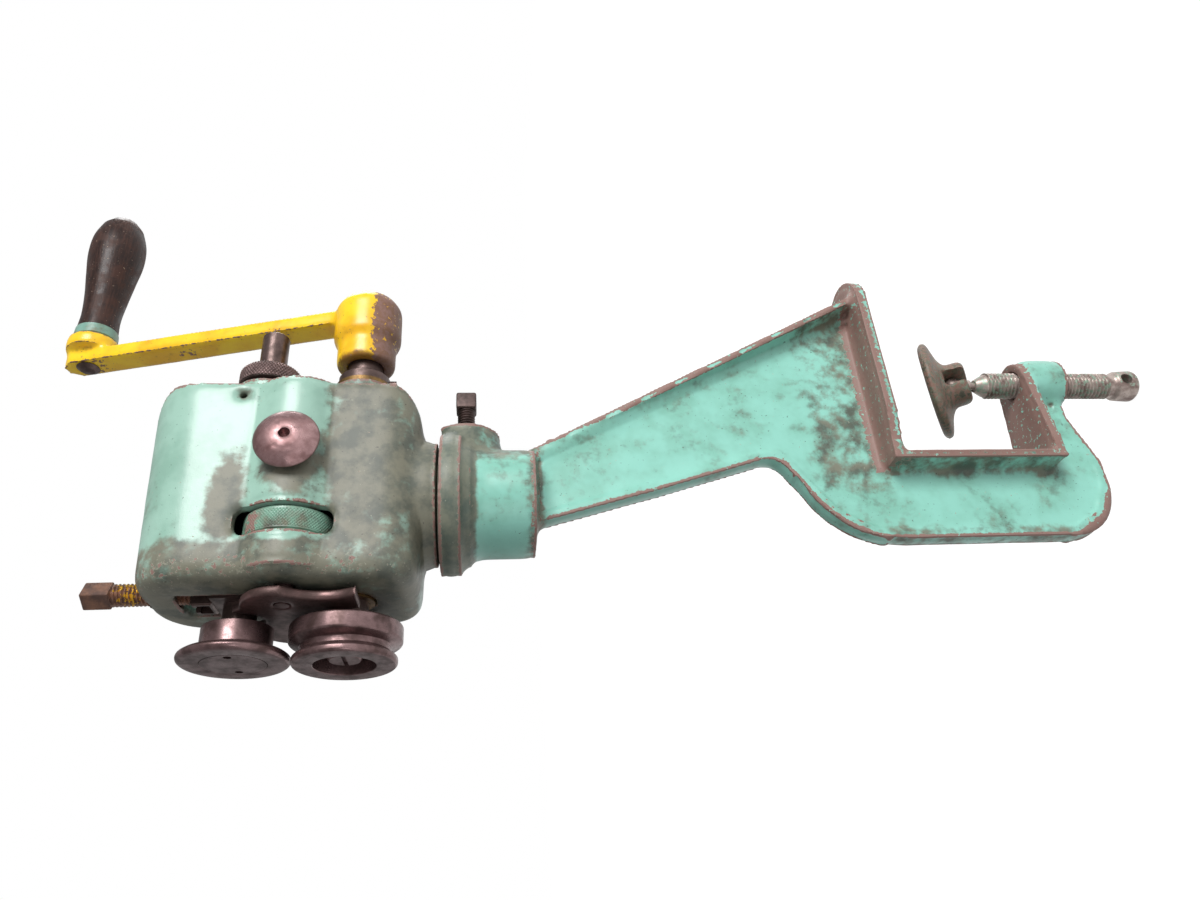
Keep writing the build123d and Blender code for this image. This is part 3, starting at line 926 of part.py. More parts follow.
# ---------------------------------------------------------------- crank and grip
crank_direction = (-sin(radians(CRANK_LEAN)), 0, cos(radians(CRANK_LEAN)))
crank_end = CRANK_RADIUS + CRANK_TIP

with BuildPart() as crank_arm:
    turned_along_y([
        (CRANK_HUB_FRONT, 0), (CRANK_HUB_FRONT, CRANK_BOSS_RADIUS - 1.5),
        (CRANK_HUB_FRONT + 1.5, CRANK_BOSS_RADIUS), (CRANK_HEAD_FRONT - 3, CRANK_BOSS_RADIUS),
        (CRANK_HEAD_FRONT + 2, CRANK_HEAD_RADIUS), (CRANK_HUB_REAR - 9, CRANK_HEAD_RADIUS),
        (CRANK_HUB_REAR - 3, CRANK_HEAD_RADIUS - 4), (CRANK_HUB_REAR, CRANK_HEAD_RADIUS - 10),
        (CRANK_HUB_REAR, 0)], LOWER_Z)
    with BuildSketch(Plane(origin=(0, CRANK_BAR_FRONT, LOWER_Z), x_dir=crank_direction, z_dir=(0, 1, 0))):
        with BuildLine():
            Polyline((0, -CRANK_BAR_WIDTH / 2), (crank_end - 6, -CRANK_BAR_WIDTH / 2),
                     (crank_end, -CRANK_BAR_WIDTH / 2 + 5), (crank_end, CRANK_BAR_WIDTH / 2 - 5),
                     (crank_end - 6, CRANK_BAR_WIDTH / 2), (0, CRANK_BAR_WIDTH / 2), close=True)
        make_face()
    extrude(amount=CRANK_BAR_THICKNESS)
    rod(GRIP_COLLAR_RADIUS, CRANK_BAR_REAR, COLLAR_REAR, x=GRIP_X, z=GRIP_Z)
    rod(GRIP_PIN_RADIUS, CRANK_BAR_FRONT, COLLAR_REAR, x=GRIP_X, z=GRIP_Z, mode=Mode.SUBTRACT)
    rod(LOWER_SHAFT_RADIUS, CRANK_HUB_FRONT, LOWER_SHAFT_REAR, z=LOWER_Z, mode=Mode.SUBTRACT)
crank_arm.part.label = "crank_arm"
export_step(crank_arm.part, "parts/crank_arm.step")

grip_front = COLLAR_REAR + SEAT_GAP
wood_front = grip_front + FERRULE_LENGTH
wood_rear = wood_front + GRIP_LENGTH
pin_rear = wood_rear - GRIP_END_WALL - GRIP_PIN_ROOM

with BuildPart() as grip_pin:
    turned_along_y([
        (CRANK_BAR_FRONT, 0), (CRANK_BAR_FRONT - 2.6, 0), (CRANK_BAR_FRONT - 1.8, 4),
        (CRANK_BAR_FRONT, 6.5), (CRANK_BAR_FRONT, GRIP_PIN_RADIUS),
        (pin_rear, GRIP_PIN_RADIUS), (pin_rear, 0)], GRIP_Z, GRIP_X)
grip_pin.part.label = "grip_pin"
export_step(grip_pin.part, "parts/grip_pin.step")

with BuildPart() as grip_ferrule:
    turned_along_y([
        (grip_front, GRIP_PIN_RADIUS + RUNNING_CLEARANCE), (grip_front, FERRULE_RADIUS - 0.8),
        (grip_front + 0.8, FERRULE_RADIUS), (wood_front, FERRULE_RADIUS - 0.4),
        (wood_front, GRIP_PIN_RADIUS + RUNNING_CLEARANCE)], GRIP_Z, GRIP_X)
grip_ferrule.part.label = "grip_ferrule"
export_step(grip_ferrule.part, "parts/grip_ferrule.step")

with BuildPart() as grip_wood:
    with BuildSketch(Plane.YZ.offset(GRIP_X)):
        with BuildLine():
            neck = ThreePointArc((wood_front, GRIP_Z + FERRULE_RADIUS - 0.9),
                                 (wood_front + GRIP_LENGTH * 0.13, GRIP_Z + GRIP_NECK_RADIUS),
                                 (wood_front + GRIP_LENGTH * 0.29, GRIP_Z + GRIP_NECK_RADIUS + 1.2))
            belly = TangentArc(neck @ 1, (wood_front + GRIP_LENGTH * 0.64, GRIP_Z + GRIP_MAX_RADIUS),
                               tangent=neck % 1)
            tip = ThreePointArc(belly @ 1, (wood_rear - GRIP_LENGTH * 0.1, GRIP_Z + GRIP_TIP_RADIUS),
                                (wood_rear, GRIP_Z + 2))
            Polyline(tip @ 1, (wood_rear, GRIP_Z), (wood_front, GRIP_Z), neck @ 0)
        make_face()
    revolve(axis=Axis((GRIP_X, 0, GRIP_Z), (0, 1, 0)))
    rod(GRIP_PIN_RADIUS + RUNNING_CLEARANCE, wood_front, wood_rear - GRIP_END_WALL, x=GRIP_X, z=GRIP_Z,
        mode=Mode.SUBTRACT)
grip_wood.part.label = "grip_wood"
export_step(grip_wood.part, "parts/grip_wood.step")
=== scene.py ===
"""Looks of a hand-cranked bead roller on its bench clamp standard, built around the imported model.

Every sub-assembly is a class that holds its sizes in millimetres, builds its meshes and dresses them.
Meshes are in metres in the model's own frame: +Z up, -Y the rolls, +Y the crank, +X the gauge knob.
"""

import logging
import math
from collections.abc import Iterable, Sequence
from dataclasses import dataclass, field
from enum import Enum

import bmesh
import bpy
import numpy as np
from mathutils import Matrix, Vector, noise


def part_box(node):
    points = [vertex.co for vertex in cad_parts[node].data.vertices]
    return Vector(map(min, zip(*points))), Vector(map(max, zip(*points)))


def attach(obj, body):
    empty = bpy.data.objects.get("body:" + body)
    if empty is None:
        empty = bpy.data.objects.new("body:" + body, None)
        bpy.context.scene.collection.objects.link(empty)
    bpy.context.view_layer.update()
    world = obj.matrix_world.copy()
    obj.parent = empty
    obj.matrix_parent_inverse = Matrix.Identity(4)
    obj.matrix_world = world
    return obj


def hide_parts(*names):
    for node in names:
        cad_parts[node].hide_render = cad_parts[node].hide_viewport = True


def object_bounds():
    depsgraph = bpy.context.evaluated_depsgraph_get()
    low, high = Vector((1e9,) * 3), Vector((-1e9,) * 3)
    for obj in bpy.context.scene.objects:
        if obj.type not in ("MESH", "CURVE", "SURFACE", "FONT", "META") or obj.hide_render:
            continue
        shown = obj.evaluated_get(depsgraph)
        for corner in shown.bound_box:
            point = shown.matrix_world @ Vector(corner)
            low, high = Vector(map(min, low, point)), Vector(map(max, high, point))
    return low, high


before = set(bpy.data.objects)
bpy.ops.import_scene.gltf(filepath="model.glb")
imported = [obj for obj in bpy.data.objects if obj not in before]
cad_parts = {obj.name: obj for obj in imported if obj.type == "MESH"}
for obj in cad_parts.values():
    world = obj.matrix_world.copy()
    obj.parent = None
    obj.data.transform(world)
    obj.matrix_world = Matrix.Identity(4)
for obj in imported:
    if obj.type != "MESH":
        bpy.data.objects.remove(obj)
CAD_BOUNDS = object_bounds()

LOG = logging.getLogger("bead_roller")
MM = 0.001
EDGE_ATTRIBUTE = "edge"      # above 0 on outer edges and below 0 in corners
SMOOTH_ANGLE = math.radians(32)
ROWS_PER_PITCH = 9                   # rows of faces along one turn of a thread
BEND_FROM, BEND_SPAN = 0.10, 0.14    # bend of a casting's skin, in voxels, where an edge starts, and its span
EDGE_HEIGHT = 0.3                    # bend, in voxels, at which the edge attribute is 1
WAVES = ((45, 1.0), (140, 0.5))      # waves of a casting's skin: how many to a metre, and their share
Point = tuple[float, float]
Triple = tuple[float, float, float]


class Along(Enum):
    """The axis that a turned piece, a thread or a set of turning marks lies along."""

    X = "X"
    Y = "Y"
    Z = "Z"

    def matrix(self) -> Matrix:
        """Turns a piece made along +Z to lie along this axis.

        Returns:
            The turn.
        """
        if self is Along.X:
            return Matrix.Rotation(math.radians(90), 4, "Y")
        if self is Along.Y:
            return Matrix.Rotation(math.radians(-90), 4, "X")
        return Matrix.Identity(4)


# ------------------------------------------------------------------ nodes and colours
def linear(hex_colour: str) -> tuple[float, float, float, float]:
    """Turns an sRGB hex colour into the linear colour that shaders use.

    Args:
        hex_colour: Six hex digits with a leading hash.

    Returns:
        Linear red, green, blue and an alpha of 1.
    """
    values = [int(hex_colour[i:i + 2], 16) / 255 for i in (1, 3, 5)]
    red, green, blue = (v / 12.92 if v <= 0.04045 else ((v + 0.055) / 1.055) ** 2.4 for v in values)
    return red, green, blue, 1.0


def add_node(tree: bpy.types.NodeTree, kind: str, values: dict | None = None, links: dict | None = None,
             **settings: object) -> bpy.types.Node:
    """Adds a node with its settings, input values and incoming links.

    Args:
        tree: The node tree that gets the node.
        kind: Blender's name of the node type.
        values: Default values by input name or index.
        links: Source sockets by input name or index.
        **settings: Attributes of the node itself.

    Returns:
        The new node.
    """
    node = tree.nodes.new(kind)
    for name, setting in settings.items():
        setattr(node, name, setting)
    for key, value in (values or {}).items():
        node.inputs[key].default_value = value
    for key, source in (links or {}).items():
        tree.links.new(source, node.inputs[key])
    return node


def new_material(name: str) -> tuple[bpy.types.Material, bpy.types.NodeTree, bpy.types.Node]:
    """Makes an empty node material.

    Args:
        name: The material's name.

    Returns:
        The material, its node tree and its output node.
    """
    material = bpy.data.materials.new(name)
    material.use_nodes = True
    tree = material.node_tree
    tree.nodes.clear()
    return material, tree, add_node(tree, "ShaderNodeOutputMaterial")


def patches(tree: bpy.types.NodeTree, vector: bpy.types.NodeSocket, size_mm: float, low: float, high: float,
            detail: float = 4.0) -> bpy.types.NodeSocket:
    """A ragged mask from noise: 0 below the low level of the noise and 1 above the high level.

    Args:
        tree: The node tree.
        vector: The coordinates, in metres.
        size_mm: Size of the patches.
        low: Noise level where the mask starts.
        high: Noise level where the mask is full.
        detail: Octaves of the noise.

    Returns:
        The mask's socket.
    """
    field_noise = add_node(tree, "ShaderNodeTexNoise", {"Scale": 1 / (size_mm * MM), "Detail": detail,
                                                        "Roughness": 0.62}, {"Vector": vector})
    return add_node(tree, "ShaderNodeMapRange", {"From Min": low, "From Max": high},
                    {"Value": field_noise.outputs[0]}, interpolation_type="SMOOTHSTEP").outputs[0]


def blend_colour(tree: bpy.types.NodeTree, mask: bpy.types.NodeSocket, below: bpy.types.NodeSocket | str,
                 above: bpy.types.NodeSocket | str) -> bpy.types.NodeSocket:
    """Lays one colour over another where a mask says.

    Args:
        tree: The node tree.
        mask: The mask, 1 where the upper colour shows.
        below: A colour socket, or a hex colour.
        above: A colour socket, or a hex colour.

    Returns:
        The mixed colour's socket.
    """
    values, links = {}, {0: mask}
    for index, colour in ((6, below), (7, above)):
        if isinstance(colour, str):
            values[index] = linear(colour)
        else:
            links[index] = colour
    return add_node(tree, "ShaderNodeMix", values, links, data_type="RGBA").outputs[2]


def arithmetic(tree: bpy.types.NodeTree, operation: str, *terms: bpy.types.NodeSocket | float,
               clamp: bool = False) -> bpy.types.NodeSocket:
    """Works out one number from others.

    Args:
        tree: The node tree.
        operation: Blender's name of the operation.
        *terms: Sockets or plain numbers.
        clamp: Whether the result is kept from 0 to 1.

    Returns:
        The result's socket.
    """
    values = {i: t for i, t in enumerate(terms) if isinstance(t, (int, float))}
    links = {i: t for i, t in enumerate(terms) if not isinstance(t, (int, float))}
    return add_node(tree, "ShaderNodeMath", values, links, operation=operation, use_clamp=clamp).outputs[0]


@dataclass(frozen=True)
class Spot:
    """A rounded region of a piece where grime, bare metal or fresh paint lies.

    Attributes:
        centre: Its middle, in millimetres.
        reach: How far it goes along X, Y and Z, in millimetres.
        strength: How much of the finish it takes, 0 to 1.
    """

    centre: Triple
    reach: Triple
    strength: float = 1.0

    def mask(self, tree: bpy.types.NodeTree, vector: bpy.types.NodeSocket) -> bpy.types.NodeSocket:
        """A soft mask, full in the middle and nothing past the reach.

        Args:
            tree: The node tree.
            vector: The coordinates, in metres.

        Returns:
            The mask's socket.
        """
        scale = tuple(1 / (r * MM) for r in self.reach)
        moved = add_node(tree, "ShaderNodeMapping", {
            "Location": tuple(-c * MM * s for c, s in zip(self.centre, scale)), "Scale": scale},
            {"Vector": vector})
        distance = add_node(tree, "ShaderNodeVectorMath", links={0: moved.outputs[0]}, operation="LENGTH")
        return add_node(tree, "ShaderNodeMapRange", {
            "From Min": 1.0, "From Max": 0.45, "To Max": self.strength},
            {"Value": distance.outputs["Value"]}).outputs[0]


@dataclass(frozen=True)
class Zone:
    """A box-shaped region of a piece, such as one of its faces.

    Attributes:
        low: Its lowest corner, in millimetres.
        high: Its highest corner.
        border: Width of its soft border.
        strength: How much of the finish it takes, 0 to 1.
    """

    low: Triple
    high: Triple
    border: float = 6.0
    strength: float = 1.0

    def mask(self, tree: bpy.types.NodeTree, vector: bpy.types.NodeSocket) -> bpy.types.NodeSocket:
        """A mask that is full inside the box and fades across its border.

        Args:
            tree: The node tree.
            vector: The coordinates, in metres.

        Returns:
            The mask's socket.
        """
        middle = [(a + b) / 2 * MM for a, b in zip(self.low, self.high)]
        half = [(b - a) / 2 * MM for a, b in zip(self.low, self.high)]
        step = vector
        for operation, other in (("SUBTRACT", middle), ("ABSOLUTE", None), ("SUBTRACT", half),
                                 ("MAXIMUM", (0.0, 0.0, 0.0))):
            values = {1: other} if other else None
            step = add_node(tree, "ShaderNodeVectorMath", values, {0: step}, operation=operation).outputs[0]
        outside = add_node(tree, "ShaderNodeVectorMath", links={0: step}, operation="LENGTH")
        return add_node(tree, "ShaderNodeMapRange", {
            "From Max": self.border * MM, "To Min": self.strength, "To Max": 0.0},
            {"Value": outside.outputs["Value"]}).outputs[0]


def spots_mask(tree: bpy.types.NodeTree, vector: bpy.types.NodeSocket,
               spots: Iterable[Spot | Zone]) -> bpy.types.NodeSocket | float:
    """The strongest of several regions at each point.

    Args:
        tree: The node tree.
        vector: The coordinates, in metres.
        spots: The regions.

    Returns:
        The mask's socket, or 0 where there is no region.
    """
    result: bpy.types.NodeSocket | float = 0.0
    for spot in spots:
        result = arithmetic(tree, "MAXIMUM", result, spot.mask(tree, vector))
    return result


# ------------------------------------------------------------------ finishes
@dataclass(frozen=True)
class EnamelOnIron:
    """Old brushed enamel on cast iron: glossy film, oily grime, chips with a pale rim, rust-brown metal.

    Attributes:
        name: The material's name.
        paint: Enamel in the light.
        shade: Enamel where it has darkened.
        bare: Metal where the enamel is gone.
        primer: Pale rim of a chip.
        grime: Dried oil and dust.
        soot: The darkest grime.
        wear: How readily edges lose their enamel.
        dirt: Level of grime all over.
        dirty: Where grime lies.
        worn: Where the enamel is rubbed off.
        fresh: Where the enamel stayed clean.
        drift_mm: Size of the drifts of colour.
        stain_mm: Size of the stains.
        chip_mm: Size of the chips.
        speck_mm: Size of the dark specks.
        film_mm: Size of the brush texture.
        rim_levels: Noise levels where a chip's pale rim starts and is full.
        chip_levels: The same for the bare metal inside it.
        rub_gain: How much rubbing raises the noise.
    """

    name: str
    paint: str
    shade: str
    bare: str
    primer: str
    grime: str
    soot: str = "#453C33"
    wear: float = 0.5
    dirt: float = 0.1
    dirty: tuple[Spot | Zone, ...] = ()
    worn: tuple[Spot | Zone, ...] = ()
    fresh: tuple[Spot | Zone, ...] = ()

    # brushed enamel: 25 mm drifts of colour, 6 mm stains, 2.4 mm chips, 1.5 mm specks, 0.6 mm brush texture
    drift_mm: float = 25.0
    stain_mm: float = 6.0
    chip_mm: float = 2.4
    speck_mm: float = 1.5
    film_mm: float = 0.6
    rim_levels: Point = (0.685, 0.70)
    chip_levels: Point = (0.72, 0.735)
    rub_gain: float = 0.36

    def build(self) -> bpy.types.Material:
        """Builds the material: enamel, then grime, then chips down to the iron.

        Returns:
            The material.
        """
        material, tree, output = new_material(self.name)
        place = add_node(tree, "ShaderNodeTexCoord").outputs["Object"]
        drift = patches(tree, place, self.drift_mm, 0.36, 0.66, 3)
        stain = patches(tree, place, self.stain_mm, 0.30, 0.72, 5)
        colour = blend_colour(tree, arithmetic(tree, "MULTIPLY", drift, 0.75), self.paint, self.shade)
        # grime: spots with ragged borders, thinned where the enamel stayed clean
        dirty = arithmetic(tree, "ADD", spots_mask(tree, place, self.dirty), self.dirt)
        dirty = arithmetic(tree, "SUBTRACT", dirty, spots_mask(tree, place, self.fresh))
        edge = add_node(tree, "ShaderNodeAttribute", attribute_name=EDGE_ATTRIBUTE).outputs["Fac"]
        # inner corners, where the edge attribute is below 0, are darkened with the grime colour, more the
        # deeper the corner
        corner = add_node(tree, "ShaderNodeMapRange", {"From Min": -0.2, "From Max": -1.0, "To Max": 0.45},
                          {"Value": edge}).outputs[0]
        dirty = arithmetic(tree, "ADD", dirty, corner)
        ragged = arithmetic(tree, "MULTIPLY_ADD", stain, 0.42, arithmetic(tree, "SUBTRACT", dirty, 0.50))
        ragged = arithmetic(tree, "MULTIPLY_ADD", drift, 0.34, ragged)
        grime = add_node(tree, "ShaderNodeMapRange", {"From Min": 0.0, "From Max": 0.62, "To Max": 0.88},
                         {"Value": ragged}, interpolation_type="SMOOTHSTEP").outputs[0]
        grime_colour = blend_colour(tree, patches(tree, place, 13.0, 0.38, 0.66), self.grime, self.soot)
        colour = blend_colour(tree, grime, colour, grime_colour)
        # edges and rubbed places lose their enamel in chips
        rubbed = add_node(tree, "ShaderNodeMapRange", {
            "From Min": 0.25, "From Max": 0.85, "To Max": self.wear}, {"Value": edge}).outputs[0]
        rubbed = arithmetic(tree, "MAXIMUM", rubbed, spots_mask(tree, place, self.worn))
        chip_noise = add_node(tree, "ShaderNodeTexNoise", {"Scale": 1 / (self.chip_mm * MM), "Detail": 5.0,
                                                           "Roughness": 0.6}, {"Vector": place}).outputs[0]
        level = arithmetic(tree, "MULTIPLY_ADD", rubbed, self.rub_gain, chip_noise)
        rim, chip = (
            add_node(tree, "ShaderNodeMapRange", {"From Min": start, "From Max": full},
                     {"Value": level}).outputs[0]
            for start, full in (self.rim_levels, self.chip_levels))
        bare_colour = blend_colour(tree, patches(tree, place, 3.0, 0.35, 0.7), self.bare, "#8A6A62")
        colour = blend_colour(tree, arithmetic(tree, "MULTIPLY", rim, 0.42), colour, self.primer)
        colour = blend_colour(tree, chip, colour, bare_colour)
        specks = patches(tree, place, self.speck_mm, 0.70, 0.74, 2)
        colour = blend_colour(tree, arithmetic(tree, "MULTIPLY", specks, 0.75), colour, "#2F2B25")
        # gloss falls with grime and on bare iron; the film is slightly brushed, and chips lie below it
        dull = arithmetic(tree, "MAXIMUM", arithmetic(tree, "MULTIPLY", grime, 0.8), chip)
        gloss = add_node(tree, "ShaderNodeMapRange", {"To Min": 0.30, "To Max": 0.56},
                         {"Value": dull}).outputs[0]
        film = add_node(tree, "ShaderNodeTexNoise", {"Scale": 1 / (self.film_mm * MM), "Detail": 2.0},
                        {"Vector": place}).outputs[0]
        height = arithmetic(tree, "MULTIPLY_ADD", film, 0.25, arithmetic(tree, "MULTIPLY", chip, -0.9))
        height = arithmetic(tree, "MULTIPLY_ADD", stain, 0.25, height)
        bump = add_node(tree, "ShaderNodeBump", {"Strength": 0.55, "Distance": 0.25 * MM}, {"Height": height})
        shader = add_node(tree, "ShaderNodeBsdfPrincipled", links={
            "Base Color": colour, "Roughness": gloss, "Normal": bump.outputs[0]})
        tree.links.new(shader.outputs[0], output.inputs["Surface"])
        return material


@dataclass(frozen=True)
class TurnedMetal:
    """Steel, iron or bronze with turning marks, browned by age and oil.

    Attributes:
        name: The material's name.
        colour: The clean metal.
        stain: The metal under old oil and rust.
        roughness: Mean roughness.
        metallic: 1 for clean metal, less where a film of oxide covers it.
        along: The axis that the marks go round.
        centre: A point on that axis, in millimetres.
        mark_mm: Width of a turning mark.
        paint: Remnants of paint.
        paint_spots: Where they are.
    """

    name: str
    colour: str
    stain: str
    roughness: float = 0.38
    metallic: float = 0.75
    along: Along = Along.Y
    centre: Triple = (0.0, 0.0, 0.0)
    mark_mm: float = 0.45
    paint: str = "#6FAE92"
    paint_spots: tuple[Spot | Zone, ...] = ()

    def build(self) -> bpy.types.Material:
        """Builds the material: stained metal with fine marks round its axis.

        Returns:
            The material.
        """
        material, tree, output = new_material(self.name)
        place = add_node(tree, "ShaderNodeTexCoord").outputs["Object"]
        stain = patches(tree, place, 7.0, 0.32, 0.70, 5)
        colour = blend_colour(tree, stain, self.colour, self.stain)
        moved = add_node(tree, "ShaderNodeMapping", {"Location": tuple(-c * MM for c in self.centre)},
                         {"Vector": place}).outputs[0]
        parts = add_node(tree, "ShaderNodeSeparateXYZ", links={0: moved}).outputs
        others = [parts[i] for i in range(3) if "XYZ"[i] != self.along.value]
        squares = [arithmetic(tree, "MULTIPLY", part, part) for part in others]
        radius = arithmetic(tree, "SQRT", arithmetic(tree, "ADD", *squares))
        lane = add_node(tree, "ShaderNodeCombineXYZ", links={
            0: radius, 1: parts["XYZ".index(self.along.value)]}).outputs[0]
        marks = add_node(tree, "ShaderNodeTexNoise", {"Scale": 1 / (self.mark_mm * MM), "Detail": 3.0},
                         {"Vector": lane}).outputs[0]
        grain = patches(tree, place, 1.2, 0.62, 0.75, 3)
        colour = blend_colour(tree, arithmetic(tree, "MULTIPLY", grain, 0.5), colour, self.stain)
        if self.paint_spots:
            ragged = arithmetic(tree, "ADD", spots_mask(tree, place, self.paint_spots),
                                patches(tree, place, 2.5, 0.45, 0.6))
            colour = blend_colour(tree, arithmetic(tree, "GREATER_THAN", ragged, 1.25), colour, self.paint)
        gloss = arithmetic(tree, "MULTIPLY_ADD", stain, 0.16, arithmetic(
            tree, "MULTIPLY_ADD", marks, 0.16, self.roughness - 0.14))
        bump = add_node(tree, "ShaderNodeBump", {"Strength": 0.35, "Distance": 0.06 * MM}, {
            "Height": arithmetic(tree, "ADD", marks, arithmetic(tree, "MULTIPLY", grain, -0.7))})
        shader = add_node(tree, "ShaderNodeBsdfPrincipled", {"Metallic": self.metallic}, {
            "Base Color": colour, "Roughness": gloss, "Normal": bump.outputs[0]})
        tree.links.new(shader.outputs[0], output.inputs["Surface"])
        return material


@dataclass(frozen=True)
class VarnishedWood:
    """Turned hardwood under dark varnish, worn matt by hands, scratched and dented with pale nicks.

    Attributes:
        name: The material's name.
        varnish: The dark varnish.
        wood: Wood that shows through it.
        nick: Pale nicks and dried paint.
        grain_mm: Spacing of the grain, which runs along the handle.
        stretch: How many times longer than wide the grain is.
    """

    name: str = "varnished_beech"
    varnish: str = "#261815"
    wood: str = "#3E2923"
    nick: str = "#A08A78"
    grain_mm: float = 1.1
    stretch: float = 14.0

    def build(self) -> bpy.types.Material:
        """Builds the material: long grain under varnish, with scratches across it.

        Returns:
            The material.
        """
        material, tree, output = new_material(self.name)
        place = add_node(tree, "ShaderNodeTexCoord").outputs["Object"]
        along = add_node(tree, "ShaderNodeMapping", {"Scale": (1.0, 1 / self.stretch, 1.0)},
                         {"Vector": place}).outputs[0]
        grain = patches(tree, along, self.grain_mm, 0.35, 0.7, 4)
        colour = blend_colour(tree, grain, self.varnish, self.wood)
        rubbed = patches(tree, place, 14.0, 0.45, 0.62, 4)
        colour = blend_colour(tree, arithmetic(tree, "MULTIPLY", rubbed, 0.3), colour, "#57392F")
        across = add_node(tree, "ShaderNodeMapping", {"Scale": (0.25, 1.0, 0.4), "Rotation": (0.5, 0.2, 0.6)},
                          {"Vector": place}).outputs[0]
        scratch = patches(tree, across, 0.8, 0.70, 0.73, 2)
        nicks = patches(tree, place, 2.2, 0.705, 0.72, 2)
        marks = arithmetic(tree, "MAXIMUM", arithmetic(tree, "MULTIPLY", scratch, 0.5), nicks)
        colour = blend_colour(tree, marks, colour, self.nick)
        gloss = add_node(tree, "ShaderNodeMapRange", {"To Min": 0.34, "To Max": 0.55},
                         {"Value": rubbed}).outputs[0]
        bump = add_node(tree, "ShaderNodeBump", {"Strength": 0.5, "Distance": 0.12 * MM}, {
            "Height": arithmetic(tree, "SUBTRACT", arithmetic(tree, "MULTIPLY", grain, 0.4), marks)})
        shader = add_node(tree, "ShaderNodeBsdfPrincipled", {"Specular IOR Level": 0.22}, {
            "Base Color": colour, "Roughness": gloss, "Normal": bump.outputs[0]})
        tree.links.new(shader.outputs[0], output.inputs["Surface"])
        return material


OLD = {"bare": "#8C7067", "primer": "#B4B8A4", "grime": "#746A5A"}
# greyed mint enamel, half of it under a matt film of old oil
HEAD_ENAMEL = EnamelOnIron(
    name="mint_enamel_on_cast_iron_head", paint="#9AC0B0", shade="#80A897", **OLD, wear=0.8, dirt=0.14,
    dirty=(
        Zone((0, -132, 262), (60, -20, 298), 26, 0.62),    # towards the neck
        Spot((40, -66, 290), (30, 40, 26), 0.95),
        Spot((38, -88, 352), (16, 34, 12), 0.85),          # beside the gauge's boss
        Spot((45, -76, 323), (14, 18, 20), 0.75),          # round the lock knob
        Zone((0, -140, 262), (60, -113, 392), 7, 0.62),    # front band
        Zone((-60, -108, 255), (60, -40, 266), 5, 0.95),   # neck
        # the whole front face, darkened with the grime colour
        Zone((-60, -140, 262), (60, -127, 399), 3, 0.75),  # front face
        Spot((30, -31, 351), (14, 7, 8), 0.6),             # round the oil hole
    ),
    worn=(
        Zone((20, -126, 285), (40, -119, 392), 4, 0.35),   # along the front edge
    ),
    fresh=(
        Spot((38, -50, 376), (20, 50, 30), 0.4),
        Spot((44, -40, 318), (16, 20, 14), 0.4),
        Spot((46, -110, 325), (10, 5, 14), 0.9),
    ))
# cleaner mint enamel, glossy, rubbed to brown iron along its edges
STANDARD_ENAMEL = EnamelOnIron(
    name="mint_enamel_on_cast_iron_standard", paint="#8ECEBE", shade="#7AB5A2", **OLD, wear=1.05, dirt=0.1,
    dirty=(
        Zone((-50, -120, 238), (50, -30, 258), 4, 0.95),   # collar
        Zone((-30, -56, 205), (30, -30, 258), 8, 0.6),     # boss of the socket screw
        Zone((-40, -120, 203), (40, -30, 208), 4, 0.55),
        Zone((-30, -60, 6), (30, 80, 12), 7, 0.3),         # upper face of the foot
        Zone((-10, -62, 10), (10, 60, 40), 14, 0.35),      # web beside the foot
        Zone((-30, -63, -95), (30, -52, 8), 4, 0.45),      # throat
        Zone((-30, -110, -126), (30, -98, 10), 5, 0.35),   # front of the spine
    ),
    worn=(
        Zone((-30, -60, 5), (30, 80, 12), 4, 0.95),
        Zone((-30, -58, -93), (30, 24, -87), 3, 0.95),     # inner face of the jaw
        Zone((-30, -60, -4), (30, 80, 2), 2, 0.7),         # bench face
        Zone((-30, -130, 203), (30, -30, 208), 2, 0.5),
    ))
# warm yellow enamel that flakes to rusty brown
CRANK_ENAMEL = EnamelOnIron(
    name="yellow_enamel_on_forged_iron", paint="#FFD21E", shade="#EBAA10", bare="#7E5A44", primer="#B98A3A",
    grime="#8A5526", soot="#5A3A20", wear=0.7, dirt=0.0,
    dirty=(Spot((0, 10, 298), (26, 6, 26), 0.9),           # rusty mouth of the hub
           Spot((-44, 46, 468), (20, 14, 10), 0.35)),
    worn=(
        Zone((-30, 5, 270), (30, 64, 291), 5, 1.0),        # rubbed half of the hub
        Spot((-14, 42, 352), (12, 10, 10), 0.62),
        Spot((-28, 42, 406), (8, 8, 10), 0.5),
        Spot((-42, 42, 464), (14, 8, 14), 0.45),
    ))
# thin aqua enamel, dull with dirt
FERRULE_ENAMEL = EnamelOnIron(
    name="aqua_enamel_on_steel", paint="#7DA79A", shade="#5E8778", bare="#7A6A55", primer="#A9B8A4",
    grime="#7A6C4C", wear=0.5, dirt=0.3)
# browned tool steel with a soft sheen and fine rings
ROLL_STEEL = {"colour": "#7A6262", "stain": "#4B3937"}


